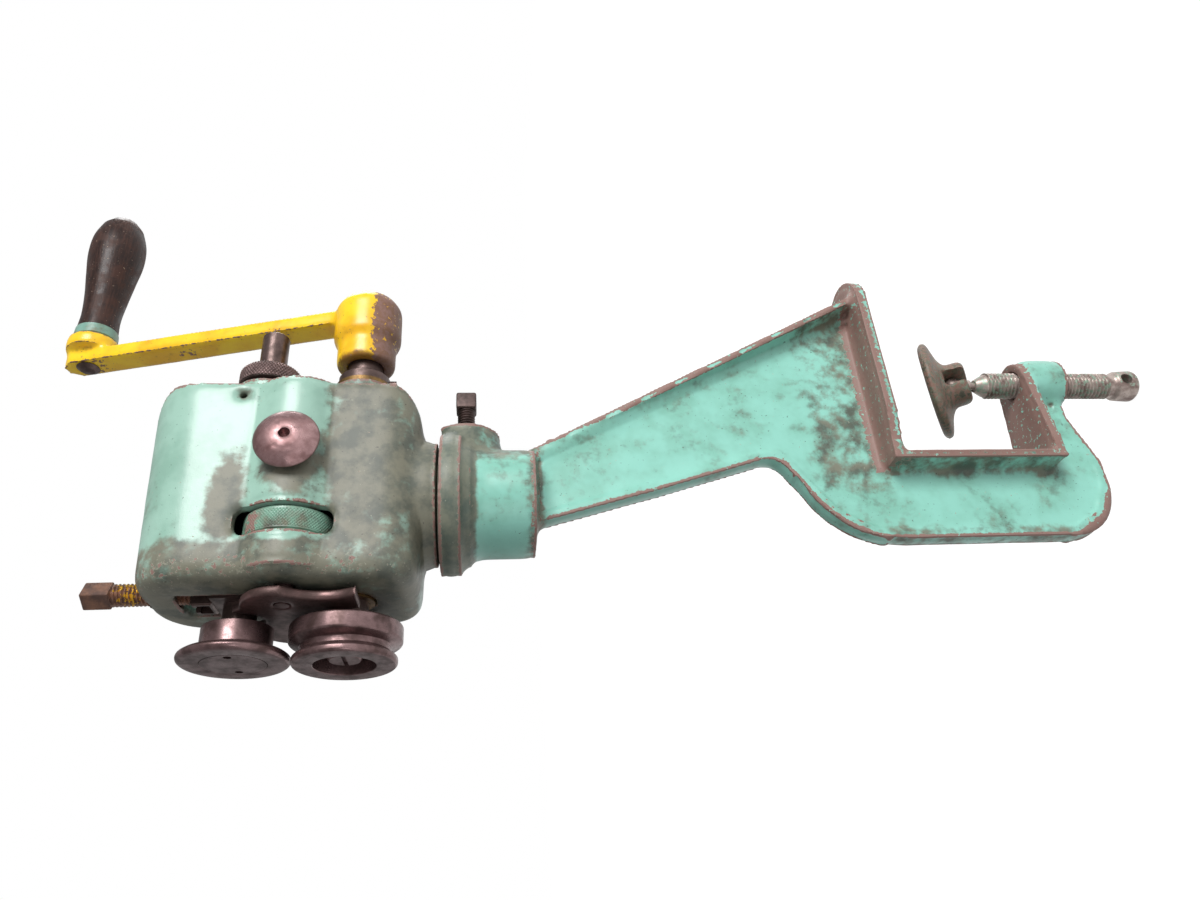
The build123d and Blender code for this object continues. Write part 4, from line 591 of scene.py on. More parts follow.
def finishes() -> dict[str, bpy.types.Material]:
    """Builds every finish of the object.

    Returns:
        The materials by the names that the sub-assemblies use.
    """
    kinds = {
        "head": HEAD_ENAMEL,
        "standard": STANDARD_ENAMEL,
        "crank": CRANK_ENAMEL,
        "ferrule": FERRULE_ENAMEL,
        "wood": VarnishedWood(),
        "upper_roll": TurnedMetal("turned_tool_steel_upper", **ROLL_STEEL, roughness=0.33,
                                  centre=(0, 0, 348.8)),
        "lower_roll": TurnedMetal("turned_tool_steel_lower", **ROLL_STEEL, roughness=0.33,
                                  centre=(0, 0, 298)),
        "gauge": TurnedMetal("ground_steel_plate", "#6A504E", "#493835", roughness=0.42, metallic=0.6,
                             centre=(21, 0, 325)),
        "wheel": EnamelOnIron(name="enamel_on_knurled_steel", paint="#7FA894", shade="#6A9480", **OLD,
                              wear=0.4, dirt=0.36,
                              worn=(Spot((40, -101, 343), (10, 12, 9), 1.0),)),
        "knob": TurnedMetal("turned_steel_knob", "#A08080", "#765857", roughness=0.32, along=Along.X,
                            centre=(0, -63.7, 325)),
        "knurl": TurnedMetal("oiled_knurled_steel", "#75605E", "#4A3A37", roughness=0.42, metallic=0.6,
                             centre=(0, 0, 348.8)),
        "shaft": TurnedMetal("oiled_shaft_steel", "#62504C", "#423430", roughness=0.36, metallic=0.65,
                             centre=(0, 0, 348.8)),
        "pressure": TurnedMetal("blackened_steel_pressure_screw", "#8A6450", "#54403A", roughness=0.48,
                                metallic=0.5, along=Along.Z, centre=(0, -121.5, 0), paint="#C79A2B",
                                paint_spots=(Spot((4, -119, 400), (12, 12, 9), 0.75),)),
        "clamp": TurnedMetal("oily_steel_clamp_screw", "#B8AAA2", "#75625C", roughness=0.42,
                             metallic=0.5, along=Along.Z, paint="#8FA090",
                             paint_spots=(Zone((-12, -12, -86), (12, 12, -64), 4, 0.62),
                                          Zone((-12, -12, -150), (12, 12, -128), 4, 0.5),
                                          Spot((8, 4, -164), (12, 12, 12), 0.66))),
        "socket": TurnedMetal("blackened_steel_socket_screw", "#54423E", "#372B28", roughness=0.5,
                              metallic=0.5, centre=(0, 0, 241.5)),
        "gear": TurnedMetal("greased_cast_iron", "#5C5550", "#3A3430", roughness=0.5, metallic=0.6,
                            centre=(0, 0, 298)),
        "pad": EnamelOnIron(name="worn_enamel_on_malleable_iron", paint="#7F9A84", shade="#6E7B68",
                            bare="#7A6050", primer="#8C8672", grime="#6A584A", wear=0.9, dirt=0.72,
                            worn=(Spot((0, 0, -50), (90, 90, 90), 0.6),)),
        "bronze": TurnedMetal("oiled_bronze", "#8C6E42", "#5A452C", roughness=0.4, metallic=0.85),
    }
    return {key: kind.build() for key, kind in kinds.items()}


# ------------------------------------------------------------------ meshes
def finished(name: str, work: bmesh.types.BMesh, material: bpy.types.Material,
             body: str, slot: str, *replaced: str) -> bpy.types.Object:
    """Makes an object from a bmesh, shades it, lets it ride on its body and hides what it replaces.

    Args:
        name: The piece's name.
        work: Its mesh, which is freed.
        material: Its finish.
        body: The body that it rides on.
        slot: The record's material slot; not used.
        *replaced: The model's nodes that it stands for.

    Returns:
        The new object.
    """
    bmesh.ops.recalc_face_normals(work, faces=work.faces)
    mesh = bpy.data.meshes.new(name)
    work.to_mesh(mesh)
    work.free()
    mesh.materials.clear()
    mesh.materials.append(material)
    mesh.polygons.foreach_set("material_index", [0] * len(mesh.polygons))
    mesh.shade_smooth()
    mesh.set_sharp_from_angle(angle=SMOOTH_ANGLE)
    piece = bpy.data.objects.new(name, mesh)
    bpy.context.scene.collection.objects.link(piece)
    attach(piece, body)
    if replaced:
        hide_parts(*replaced)
    LOG.info("%s: %d faces on %s", name, len(mesh.polygons), body)
    return piece


def place_on(along: Along, centre: Triple) -> Matrix:
    """The matrix that moves a piece made along +Z from its origin, in mm, to its place in metres."""
    return Matrix.Translation(Vector(centre) * MM) @ along.matrix() @ Matrix.Scale(MM, 4)


def turned(work: bmesh.types.BMesh, outline: Sequence[Point], place: Matrix, segments: int = 128) -> None:
    """Adds a turned solid from its half outline.

    Args:
        work: The mesh that gets it.
        outline: (height, radius) points in mm, from end to end; a radius of 0 closes an end.
        place: Where the piece's own +Z axis goes.
        segments: Faces round the axis.
    """
    rings = []
    for height, radius in outline:
        if radius <= 0:
            rings.append([work.verts.new(place @ Vector((0, 0, height)))])
            continue
        turns = [2 * math.pi * i / segments for i in range(segments)]
        rings.append([work.verts.new(place @ Vector((radius * math.cos(t), radius * math.sin(t), height)))
                      for t in turns])
    for lower, upper in zip(rings, rings[1:]):
        for i in range(segments):
            j = (i + 1) % segments
            corners = [lower[i % len(lower)], lower[j % len(lower)],
                       upper[j % len(upper)], upper[i % len(upper)]]
            corners = list(dict.fromkeys(corners))
            if len(corners) > 2:
                work.faces.new(corners)


def ring(work: bmesh.types.BMesh, outline: Sequence[Point], place: Matrix, segments: int = 128) -> None:
    """Adds a turned ring from its closed outline.

    Args:
        work: The mesh that gets it.
        outline: (height, radius) points in mm, once round.
        place: Where the ring's own +Z axis goes.
        segments: Faces round the axis.
    """
    start = len(work.verts)
    turned(work, [*outline, outline[0]], place, segments)
    work.verts.ensure_lookup_table()
    bmesh.ops.remove_doubles(work, verts=work.verts[start:], dist=1e-7)


def rounded(outline: Sequence[Point], radius: float, steps: int = 3) -> list[Point]:
    """Rounds the inner corners of an outline by short curves.

    Args:
        outline: Corner points in mm.
        radius: Distance from each corner where its curve starts.
        steps: Points on each curve.

    Returns:
        The softened outline.
    """
    soft = [outline[0]]
    for before, corner, after in zip(outline, outline[1:], outline[2:]):
        here, start, end = Vector(corner), Vector(before), Vector(after)
        reach_in = min(radius, (start - here).length * 0.45)
        reach_out = min(radius, (end - here).length * 0.45)
        first = here + (start - here).normalized() * reach_in
        last = here + (end - here).normalized() * reach_out
        for i in range(steps + 1):
            t = i / steps
            soft.append(tuple(first.lerp(here, t).lerp(here.lerp(last, t), t)))
    soft.append(outline[-1])
    return soft


def squared(work: bmesh.types.BMesh, side: float, low: float, high: float, turn: float, place: Matrix,
            bevel: float = 0.9) -> None:
    """Adds a square bar with worn corners along +Z.

    Args:
        work: The mesh that gets it.
        side: Width across flats in mm.
        low: Lower end.
        high: Upper end.
        turn: Degrees about its axis.
        place: Where its +Z axis goes.
        bevel: Width of the rounding of its edges.
    """
    shape = Matrix.Translation((0, 0, (low + high) / 2)) @ Matrix.Rotation(math.radians(turn), 4, "Z")
    shape = shape @ Matrix.Diagonal((side, side, high - low, 1))
    bar = bmesh.new()
    bmesh.ops.create_cube(bar, size=1.0, matrix=shape)
    bmesh.ops.bevel(bar, geom=bar.edges[:], offset=bevel, segments=3, profile=0.6, affect="EDGES")
    bar.transform(place)
    shell = bpy.data.meshes.new("bar")
    bar.to_mesh(shell)
    bar.free()
    work.from_mesh(shell)
    bpy.data.meshes.remove(shell)


class TurnedPattern:
    """A Geometry Nodes tree for what repeats round a turned piece: screw threads and knurls.

    It bends a grid into a barrel and cuts helical grooves into it. One helix makes a thread, and two
    that cross make a diamond knurl.
    """

    SOCKETS = {"Radius": "NodeSocketFloat", "Depth": "NodeSocketFloat", "Pitch": "NodeSocketFloat",
               "Length": "NodeSocketFloat", "Starts": "NodeSocketFloat", "Crossing": "NodeSocketFloat",
               "Rounding": "NodeSocketFloat", "Segments": "NodeSocketInt",
               "Rows": "NodeSocketInt", "Material": "NodeSocketMaterial"}

    def __init__(self) -> None:
        """Builds the tree."""
        tree = bpy.data.node_groups.new("helical_grooves", "GeometryNodeTree")
        self.sockets = {
            name: tree.interface.new_socket(name=name, in_out="INPUT", socket_type=kind).identifier
            for name, kind in self.SOCKETS.items()}
        tree.interface.new_socket(name="Mesh", in_out="OUTPUT", socket_type="NodeSocketGeometry")
        given = add_node(tree, "NodeGroupInput").outputs
        grid = add_node(tree, "GeometryNodeMeshGrid", {"Size X": 1.0, "Size Y": 1.0}, {
            "Vertices X": given["Segments"], "Vertices Y": given["Rows"]})
        across = add_node(tree, "ShaderNodeSeparateXYZ", links={
            0: add_node(tree, "GeometryNodeInputPosition").outputs[0]}).outputs
        turn = arithmetic(tree, "ADD", across[0], 0.5)
        height = arithmetic(tree, "MULTIPLY", arithmetic(tree, "ADD", across[1], 0.5), given["Length"])
        rise = arithmetic(tree, "DIVIDE", height, given["Pitch"])
        lead = arithmetic(tree, "MULTIPLY", turn, given["Starts"])
        grooves = [self.groove(tree, arithmetic(tree, way, rise, lead)) for way in ("SUBTRACT", "ADD")]
        deepest = arithmetic(tree, "MAXIMUM", grooves[0], arithmetic(tree, "MULTIPLY", grooves[1],
                                                                     given["Crossing"]))
        radius = arithmetic(tree, "SUBTRACT", given["Radius"], arithmetic(tree, "MULTIPLY", deepest,
                                                                          given["Depth"]))
        left = arithmetic(tree, "DIVIDE", arithmetic(tree, "SUBTRACT", given["Length"], height),
                          given["Rounding"])
        over = arithmetic(tree, "SUBTRACT", 1.0, left, clamp=True)
        chord = arithmetic(tree, "SQRT", arithmetic(tree, "SUBTRACT", 1.0, arithmetic(
            tree, "MULTIPLY", over, over)))
        radius = arithmetic(tree, "SUBTRACT", radius, arithmetic(
            tree, "MULTIPLY", arithmetic(tree, "SUBTRACT", 1.0, chord), given["Rounding"]))
        angle = arithmetic(tree, "MULTIPLY", turn, 2 * math.pi)
        position = add_node(tree, "ShaderNodeCombineXYZ", links={
            0: arithmetic(tree, "MULTIPLY", radius, arithmetic(tree, "COSINE", angle)),
            1: arithmetic(tree, "MULTIPLY", radius, arithmetic(tree, "SINE", angle)), 2: height})
        barrel = add_node(tree, "GeometryNodeSetPosition", links={
            "Geometry": grid.outputs["Mesh"], "Position": position.outputs[0]})
        merged = add_node(tree, "GeometryNodeMergeByDistance", {"Distance": 1e-4},
                          {"Geometry": barrel.outputs[0]})
        real = add_node(tree, "GeometryNodeRealizeInstances", links={"Geometry": merged.outputs[0]})
        dressed = add_node(tree, "GeometryNodeSetMaterial", links={
            "Geometry": real.outputs[0], "Material": given["Material"]})
        add_node(tree, "NodeGroupOutput", links={0: dressed.outputs[0]})
        self.tree = tree

    @staticmethod
    def groove(tree: bpy.types.NodeTree, phase: bpy.types.NodeSocket) -> bpy.types.NodeSocket:
        """A V groove with flat crests and a narrow flat root, from the phase of a helix.

        Args:
            tree: The node tree.
            phase: Turns of the helix.

        Returns:
            The depth's socket, 0 on a crest and 1 in the root.
        """
        wave = arithmetic(tree, "ABSOLUTE", arithmetic(
            tree, "MULTIPLY_ADD", arithmetic(tree, "FRACT", phase), 2.0, -1.0))
        return add_node(tree, "ShaderNodeMapRange", {"From Min": 0.14, "From Max": 0.88},
                        {"Value": wave}).outputs[0]

    def add_to(self, work: bmesh.types.BMesh, place: Matrix, material: bpy.types.Material, low: float,
               high: float, bore: float = 0.0, **sizes: float) -> None:
        """Adds a grooved barrel along +Z to a mesh.

        Args:
            work: The mesh that gets it.
            place: Where the barrel's +Z axis goes.
            material: Its finish.
            low: Its lower end in mm.
            high: Its upper end.
            bore: Radius of its hollow inside, or 0 where its ends are closed.
            **sizes: The tree's other inputs, in mm.
        """
        carrier = bpy.data.objects.new("barrel", bpy.data.meshes.new("barrel"))
        bpy.context.scene.collection.objects.link(carrier)
        modifier = carrier.modifiers.new("grooves", "NODES")
        modifier.node_group = self.tree
        inputs = {"Length": high - low, "Material": material, "Crossing": 0.0, "Rounding": 0.01, **sizes}
        for name, value in inputs.items():
            modifier[self.sockets[name]] = value
        evaluated = carrier.evaluated_get(bpy.context.evaluated_depsgraph_get())
        result = bpy.data.meshes.new_from_object(evaluated)
        barrel = bmesh.new()
        barrel.from_mesh(result)
        rims = [e for e in barrel.edges if e.is_boundary]
        if bore:
            made = bmesh.ops.extrude_edge_only(barrel, edges=rims)["geom"]
            for vertex in (item for item in made if isinstance(item, bmesh.types.BMVert)):
                vertex.co.xy *= bore / vertex.co.xy.length
            rims = [item for item in made if isinstance(item, bmesh.types.BMEdge)]
            bmesh.ops.bridge_loops(barrel, edges=rims)
        else:
            bmesh.ops.holes_fill(barrel, edges=rims)
        barrel.transform(place @ Matrix.Translation((0, 0, low)))
        barrel.to_mesh(result)
        barrel.free()
        work.from_mesh(result)
        bpy.data.objects.remove(carrier)
        bpy.data.meshes.remove(result)


@dataclass(frozen=True)
class Round:
    """A round stretch that the model holds as flats, given back its true radius.

    Attributes:
        along: The axis that it goes round.
        centre: The axis's place by the two other coordinates, in mm.
        radius: Its true radius.
        start: Where it starts, in degrees from the first of the two coordinates.
        end: Where it ends.
        slack: How far from the true radius, in or out, a point may lie and still be moved onto it.
        inner: Whether the surface faces the axis.
    """

    along: Along
    centre: Point
    radius: float
    start: float = 0.0
    end: float = 360.0
    slack: float = 1.5
    inner: bool = False

    def restore(self, points: np.ndarray, normals: np.ndarray) -> np.ndarray:
        """Moves the points of the stretch onto its true radius.

        Args:
            points: The surface's points, in metres.
            normals: Their normals.

        Returns:
            The points, moved where they belong to the stretch.
        """
        others = [i for i in range(3) if "XYZ"[i] != self.along.value]
        spokes = points[:, others] / MM - self.centre
        distance = np.maximum(np.hypot(spokes[:, 0], spokes[:, 1]), 1e-6)
        turn = (np.degrees(np.arctan2(spokes[:, 1], spokes[:, 0])) - self.start) % 360
        facing = (normals[:, others] * spokes).sum(axis=1) / distance * (-1 if self.inner else 1)
        near = (np.abs(distance - self.radius) < self.slack) & (turn <= self.end - self.start)
        weight = np.where(near, np.clip((facing - 0.75) / 0.15, 0, 1), 0)
        moved = points.copy()
        moved[:, others] = (spokes * (1 + weight * (self.radius / distance - 1))[:, None] + self.centre) * MM
        return moved


def relaxed(values: np.ndarray, edges: np.ndarray, passes: int) -> np.ndarray:
    """Moves each value halfway to the mean of its neighbours, several times.

    Args:
        values: One row for each point.
        edges: Pairs of neighbouring points.
        passes: How often.

    Returns:
        The smoothed rows.
    """
    near, far = edges.T
    size = len(values)
    count = (np.bincount(near, minlength=size) + np.bincount(far, minlength=size))[:, None]
    for _ in range(passes):
        total = np.stack([np.bincount(near, column[far], size) + np.bincount(far, column[near], size)
                          for column in values.T], axis=1)
        values = 0.5 * (values + total / np.maximum(count, 1))
    return values


def soften(node: str, voxel_mm: float, passes: int, wave_mm: float, rounds: Sequence[Round] = (),
           fairing: int = 40) -> bmesh.types.BMesh:
    """Copies a node's mesh and gives it the soft edges, fair rounds and slow waviness of a casting.

    Args:
        node: The model's node.
        voxel_mm: Size of the remesh, which also sets how small a feature stays.
        passes: How often the surface is smoothed.
        wave_mm: Height of the waves of the skin.
        rounds: Round stretches to give back their radius.
        fairing: How often gentle bends are smoothed, away from the edges.

    Returns:
        The softened mesh, with the edge attribute on its points.
    """
    work = bmesh.new()
    work.from_mesh(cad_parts[node].data)
    bmesh.ops.remove_doubles(work, verts=work.verts, dist=1e-6)
    mesh = bpy.data.meshes.new(node)
    work.to_mesh(mesh)
    work.free()
    carrier = bpy.data.objects.new("casting", mesh)
    bpy.context.scene.collection.objects.link(carrier)
    remesh = carrier.modifiers.new("skin", "REMESH")
    remesh.mode = "VOXEL"
    remesh.voxel_size = voxel_mm * MM
    evaluated = carrier.evaluated_get(bpy.context.evaluated_depsgraph_get())
    result = bpy.data.meshes.new_from_object(evaluated)
    bpy.data.objects.remove(carrier)
    size = len(result.vertices)
    points = read_vertices(result, "co")
    edges = np.empty(len(result.edges) * 2, dtype=np.int32)
    result.edges.foreach_get("vertices", edges)
    edges = edges.reshape(-1, 2)
    normals = read_vertices(result, "normal")
    for stretch in rounds:
        points = stretch.restore(points, normals)
    soft = relaxed(points, edges, passes)
    bend = np.abs(((soft - points) * normals).sum(axis=1, keepdims=True)) / (voxel_mm * MM)
    sharp = np.clip((relaxed(bend, edges, 6) - BEND_FROM) / BEND_SPAN, 0, 1)
    points = sharp * soft + (1 - sharp) * relaxed(soft, edges, fairing)
    result.vertices.foreach_set("co", points.astype(np.float32).ravel())
    result.update()
    normals = read_vertices(result, "normal")
    inward = ((relaxed(points, edges, 8) - points) * normals).sum(axis=1)
    edge = relaxed((-inward / (EDGE_HEIGHT * voxel_mm * MM))[:, None], edges, 2).ravel()
    result.attributes.new(EDGE_ATTRIBUTE, "FLOAT", "POINT").data.foreach_set("value", edge.astype(np.float32))
    swell = [sum(share * noise.noise(Vector(p) * rate) for rate, share in WAVES) for p in points.tolist()]
    points = points + normals * (np.array(swell) * wave_mm * MM)[:, None]
    result.vertices.foreach_set("co", points.astype(np.float32).ravel())
    LOG.info("%s: remeshed at %.2f mm to %d points", node, voxel_mm, size)
    work = bmesh.new()
    work.from_mesh(result)
    bpy.data.meshes.remove(result)
    return work


def read_vertices(mesh: bpy.types.Mesh, name: str) -> np.ndarray:
    """Reads one vector of each vertex of a mesh.

    Args:
        mesh: The mesh.
        name: Blender's name of the vector.

    Returns:
        One row for each vertex.
    """
    values = np.empty(len(mesh.vertices) * 3, dtype=np.float32)
    mesh.vertices.foreach_get(name, values)
    return values.reshape(-1, 3).astype(np.float64)


# ------------------------------------------------------------------ sub-assemblies
@dataclass
class BenchStandard:
    """The cast clamp standard with its clamp screw, swivelling pad and socket screw.

    Attributes:
        finish: The materials.
        pattern: The tree of threads.
        clamp_radius: Outer radius of the clamp screw's thread.
        clamp_pitch: Its pitch.
        nose_z: Its upper end.
        head_z: Shoulder of its head.
        head_radius: Radius of its head.
        tommy_radius: Radius of the cross hole.
        nose_length: Length of its plain nose.
        thread_depth: Depth of its thread.
        plain_drop: How deep its plain parts lie under the thread's crest.
        drill_length: Length of the cross hole's drill.
        socket_radius: Outer radius of the socket screw's thread.
        socket_pitch: Its pitch.
        socket_z: Height of its axis.
        socket_head: Width of its square head.
        socket_head_length: Length of that head.
    """

    finish: dict[str, bpy.types.Material]
    pattern: TurnedPattern
    clamp_radius: float = 7.94
    clamp_pitch: float = 2.309
    nose_z: float = -65.0
    head_z: float = -152.0
    head_radius: float = 9.6
    tommy_radius: float = 3.5
    nose_length: float = 7.0
    thread_depth: float = 1.25
    plain_drop: float = 1.1
    drill_length: float = 30.0
    socket_radius: float = 4.76
    socket_pitch: float = 1.5875
    socket_z: float = 241.5
    socket_head: float = 11.1
    socket_head_length: float = 10.0

    def build(self) -> None:
        """Builds the standard and what is screwed into it."""
        casting = soften("bench_standard", 1.2, 5, 0.12, (
            Round(Along.X, (-70, -93), 33, 180, 270, 7), Round(Along.X, (-70, -93), 28, 180, 270, 7, True),
            Round(Along.X, (-45.4, 4.0), 58.4, 108, 171, 5),
            Round(Along.X, (-45.4, 4.0), 53.4, 108, 171, 5, True),
            Round(Along.Z, (0, -76), 37.5), Round(Along.Z, (0, -76), 29)))
        finished("standard_casting", casting, self.finish["standard"], "standard", "green_enamel",
                 "bench_standard")
        pad = soften("clamp_pad", 0.6, 4, 0.1)
        finished("pad_casting", pad, self.finish["pad"], "clamp_pad", "pad_iron", "clamp_pad")
        self.clamp_screw()
        self.socket_screw()

    def clamp_screw(self) -> None:
        """A coarse thread with a plain nose, and a round head drilled for its tommy bar."""
        low, high = (c[2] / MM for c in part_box("clamp_screw"))
        upright = place_on(Along.Z, (0, 0, 0))
        nose = self.nose_z - self.nose_length
        root = self.clamp_radius - self.plain_drop
        work = bmesh.new()
        turned(work, rounded([(low, 0), (low, self.head_radius - 2.6), (low + 2.6, self.head_radius),
                              (self.head_z - 5, self.head_radius - 0.6), (self.head_z - 3, root),
                              (self.head_z + 1.5, root), (self.head_z + 1.5, 0)], 1.2), upright, 96)
        across = place_on(Along.X, (0, 0, (self.head_z + low) / 2))
        work = drilled(work, self.tommy_radius, across, self.drill_length)
        tip = [(nose - 1, 0), (nose - 1, root), (nose + 1, root), (high, 3.6), (high, 0)]
        turned(work, rounded(tip, 0.5), upright, 64)
        self.pattern.add_to(work, upright, self.finish["clamp"], self.head_z, nose, Radius=self.clamp_radius,
                            Depth=self.thread_depth, Pitch=self.clamp_pitch, Starts=1.0, Segments=49,
                            Rows=int((nose - self.head_z) / self.clamp_pitch * ROWS_PER_PITCH))
        finished("clamp_screw_threaded", work, self.finish["clamp"], "clamp_screw", "oiled_steel",
                 "clamp_screw")

    def socket_screw(self) -> None:
        """A small set screw with a square head, its corners worn round."""
        low, high = (c[1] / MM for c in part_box("socket_screw"))
        lying = place_on(Along.Y, (0, 0, self.socket_z))
        shoulder = high - self.socket_head_length
        work = bmesh.new()
        self.pattern.add_to(work, lying, self.finish["socket"], low, shoulder + 0.5,
                            Radius=self.socket_radius, Depth=0.85, Pitch=self.socket_pitch, Starts=1.0,
                            Segments=41, Rows=int((shoulder - low) / self.socket_pitch * ROWS_PER_PITCH))
        squared(work, self.socket_head, shoulder, high, 0, lying, 1.4)
        finished("socket_screw_threaded", work, self.finish["socket"], "socket_screw", "oiled_steel",
                 "socket_screw")


def drilled(work: bmesh.types.BMesh, radius: float, place: Matrix, length: float) -> bmesh.types.BMesh:
    """Drills a hole through a mesh.

    Args:
        work: The mesh, which is freed.
        radius: The hole's radius in mm.
        place: Where the hole's own +Z axis goes, from its middle.
        length: Its whole length in mm.

    Returns:
        The drilled mesh.
    """
    cutter = bmesh.new()
    half = length / 2
    turned(cutter, [(-half, 0), (-half, radius), (half, radius), (half, 0)], place, 40)
    pair = []
    for name, source in (("blank", work), ("drill", cutter)):
        bmesh.ops.recalc_face_normals(source, faces=source.faces)
        mesh = bpy.data.meshes.new(name)
        source.to_mesh(mesh)
        source.free()
        pair.append(bpy.data.objects.new(name, mesh))
        bpy.context.scene.collection.objects.link(pair[-1])
    cut = pair[0].modifiers.new("hole", "BOOLEAN")
    cut.object = pair[1]
    cut.operation = "DIFFERENCE"
    cut.solver = "EXACT"
    evaluated = pair[0].evaluated_get(bpy.context.evaluated_depsgraph_get())
    result = bpy.data.meshes.new_from_object(evaluated)
    for item in pair:
        bpy.data.objects.remove(item)
    clean = bmesh.new()
    clean.from_mesh(result)
    bpy.data.meshes.remove(result)
    return clean


@dataclass
class Head:
    """The cast head with its pressure screw, alignment nut, gauge wheel and lock knob.

    Attributes:
        finish: The materials.
        pattern: The tree of threads and knurls.
        upper_z: Height of the upper shaft.
        screw_y: The pressure screw's axis.
        screw_radius: Outer radius of its thread.
        screw_pitch: Its pitch.
        square: Width of its square end.
        square_length: Length of that end.
        square_turn: Degrees that the square stands turned.
        nut_radius: Radius of the alignment nut.
        stem: X and Z of the gauge's stem.
        wheel_radius: Radius of the gauge's wheel.
        knob_y: The lock knob's place along the boss.
        knob_radius: Its radius.
    """

    finish: dict[str, bpy.types.Material]
    pattern: TurnedPattern
    upper_z: float = 348.8
    screw_y: float = -121.5
    screw_radius: float = 5.56
    screw_pitch: float = 1.814
    square: float = 9.6
    square_length: float = 13.0
    square_turn: float = 30.0
    nut_radius: float = 16.5
    stem: Point = (21.0, 325.0)
    wheel_radius: float = 21.4
    knob_y: float = -63.7
    knob_radius: float = 15.5

    def build(self) -> None:
        """Builds the head and what turns on its outside."""
        casting = soften("head_housing", 1.15, 5, 0.14, (
            Round(Along.Y, (21, 325), 24, 300, 420), Round(Along.X, (-41, 381), 18, 0, 90, 1.0),
            Round(Along.Z, (0, -76), 33)))
        finished("head_casting", casting, self.finish["head"], "head", "green_enamel", "head_housing")
        self.pressure_screw()
        self.alignment_nut()
        self.gauge_wheel()
        self.lock_knob()

    def pressure_screw(self) -> None:
        """The button, neck, thread and square end of the screw that presses the upper shaft down."""
        low, high = (c[2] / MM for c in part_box("pressure_screw"))
        upright = place_on(Along.Z, (0, self.screw_y, 0))
        work = bmesh.new()
        shoulder = high - self.square_length
        thread = low + 7.1
        turned(work, rounded([(low, 0), (low, 4.5), (low + 3.2, 4.5), (low + 3.2, 2.8), (thread + 0.5, 2.8),
                              (thread + 0.5, 0)], 0.3), upright, 48)
        self.pattern.add_to(work, upright, self.finish["pressure"], thread, shoulder,
                            Radius=self.screw_radius, Depth=0.95, Pitch=self.screw_pitch, Starts=1.0,
                            Segments=41, Rows=int((shoulder - thread) / self.screw_pitch * ROWS_PER_PITCH))
        turned(work, rounded([(shoulder - 0.5, 0), (shoulder - 0.5, self.screw_radius - 1),
                              (shoulder + 1, self.screw_radius - 1), (shoulder + 1, 0)], 0.3), upright, 40)
        squared(work, self.square, shoulder, high, self.square_turn, upright)
        finished("pressure_screw_threaded", work, self.finish["pressure"], "pressure_screw", "oiled_steel",
                 "pressure_screw")

    def alignment_nut(self) -> None:
        """A knurled ring nut behind the upper shaft's bearing."""
        low, high = (c[1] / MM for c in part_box("alignment_nut"))
        lying = place_on(Along.Y, (0, 0, self.upper_z))
        work = bmesh.new()
        core = self.nut_radius - 0.6
        ring(work, [(low + 3, 12.06), (low + 3, 12.3), (low, 12.3), (low, core - 0.4), (low + 0.4, core),
                    (high - 2.5, core), (high - 0.7, core - 0.8), (high, core - 2.6), (high, 7.42),
                    (high - 5, 7.42), (high - 5, 12.06)], lying, 128)
        self.pattern.add_to(work, lying, self.finish["knurl"], low + 0.3, high - 0.1, core - 3,
                            Radius=self.nut_radius, Depth=0.5, Pitch=2.3, Starts=58.0, Crossing=1.0,
                            Segments=523, Rows=46, Rounding=2.6)
        finished("alignment_nut_knurled", work, self.finish["knurl"], "alignment_nut", "oiled_steel",
                 "alignment_nut")

    def gauge_wheel(self) -> None:
        """The knurled wheel that moves the gauge, painted over with the head."""
        low, high = (c[1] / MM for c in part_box("gauge_wheel"))
        lying = place_on(Along.Y, (self.stem[0], 0, self.stem[1]))
        work = bmesh.new()
        core = self.wheel_radius - 0.3
        ring(work, [(low, 4.5), (low, core - 0.8), (low + 0.8, core), (low + 2, core), (low + 2, core - 0.6),
                    (high - 2, core - 0.6), (high - 2, core), (high - 0.8, core), (high, core - 0.8),
                    (high, 4.5)], lying, 160)
        self.pattern.add_to(work, lying, self.finish["wheel"], low + 1.6, high - 1.6, core - 3,
                            Radius=self.wheel_radius, Depth=0.35, Pitch=1.7, Starts=88.0, Crossing=1.0,
                            Segments=529, Rows=42)
        finished("gauge_wheel_knurled", work, self.finish["wheel"], "gauge_wheel", "roll_steel",
                 "gauge_wheel")

    def lock_knob(self) -> None:
        """The domed knob that locks the gauge, with a centre hole and hammer marks."""
        low, high = (c[0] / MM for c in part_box("gauge_lock_knob"))
        lying = place_on(Along.X, (0, self.knob_y, self.stem[1]))
        rim = high - 6.0
        radius = self.knob_radius
        dome = [(high - 6.0 * (1 - math.cos(math.radians(t)) ** 1.25), radius * math.sin(math.radians(t)))
                for t in range(84, 8, -4)]
        outline = [(low, 0), (low, 4.75), (rim - 2.6, 4.75), (rim - 2.5, radius - 3.2),
                   (rim - 1.2, radius - 0.7), (rim, radius), *dome, (high, 2.7), (high - 0.9, 2.5),
                   (high - 5, 2.4), (high - 5, 0)]
        work = bmesh.new()
        turned(work, outline, lying, 128)
        for vertex in work.verts:
            depth = max(0.0, noise.noise(vertex.co * 260) - 0.25)
            vertex.co.x -= depth * 0.5 * MM if vertex.co.x > (rim + 1) * MM else 0.0
        finished("lock_knob_domed", work, self.finish["knob"], "gauge_knob", "roll_steel", "gauge_lock_knob")


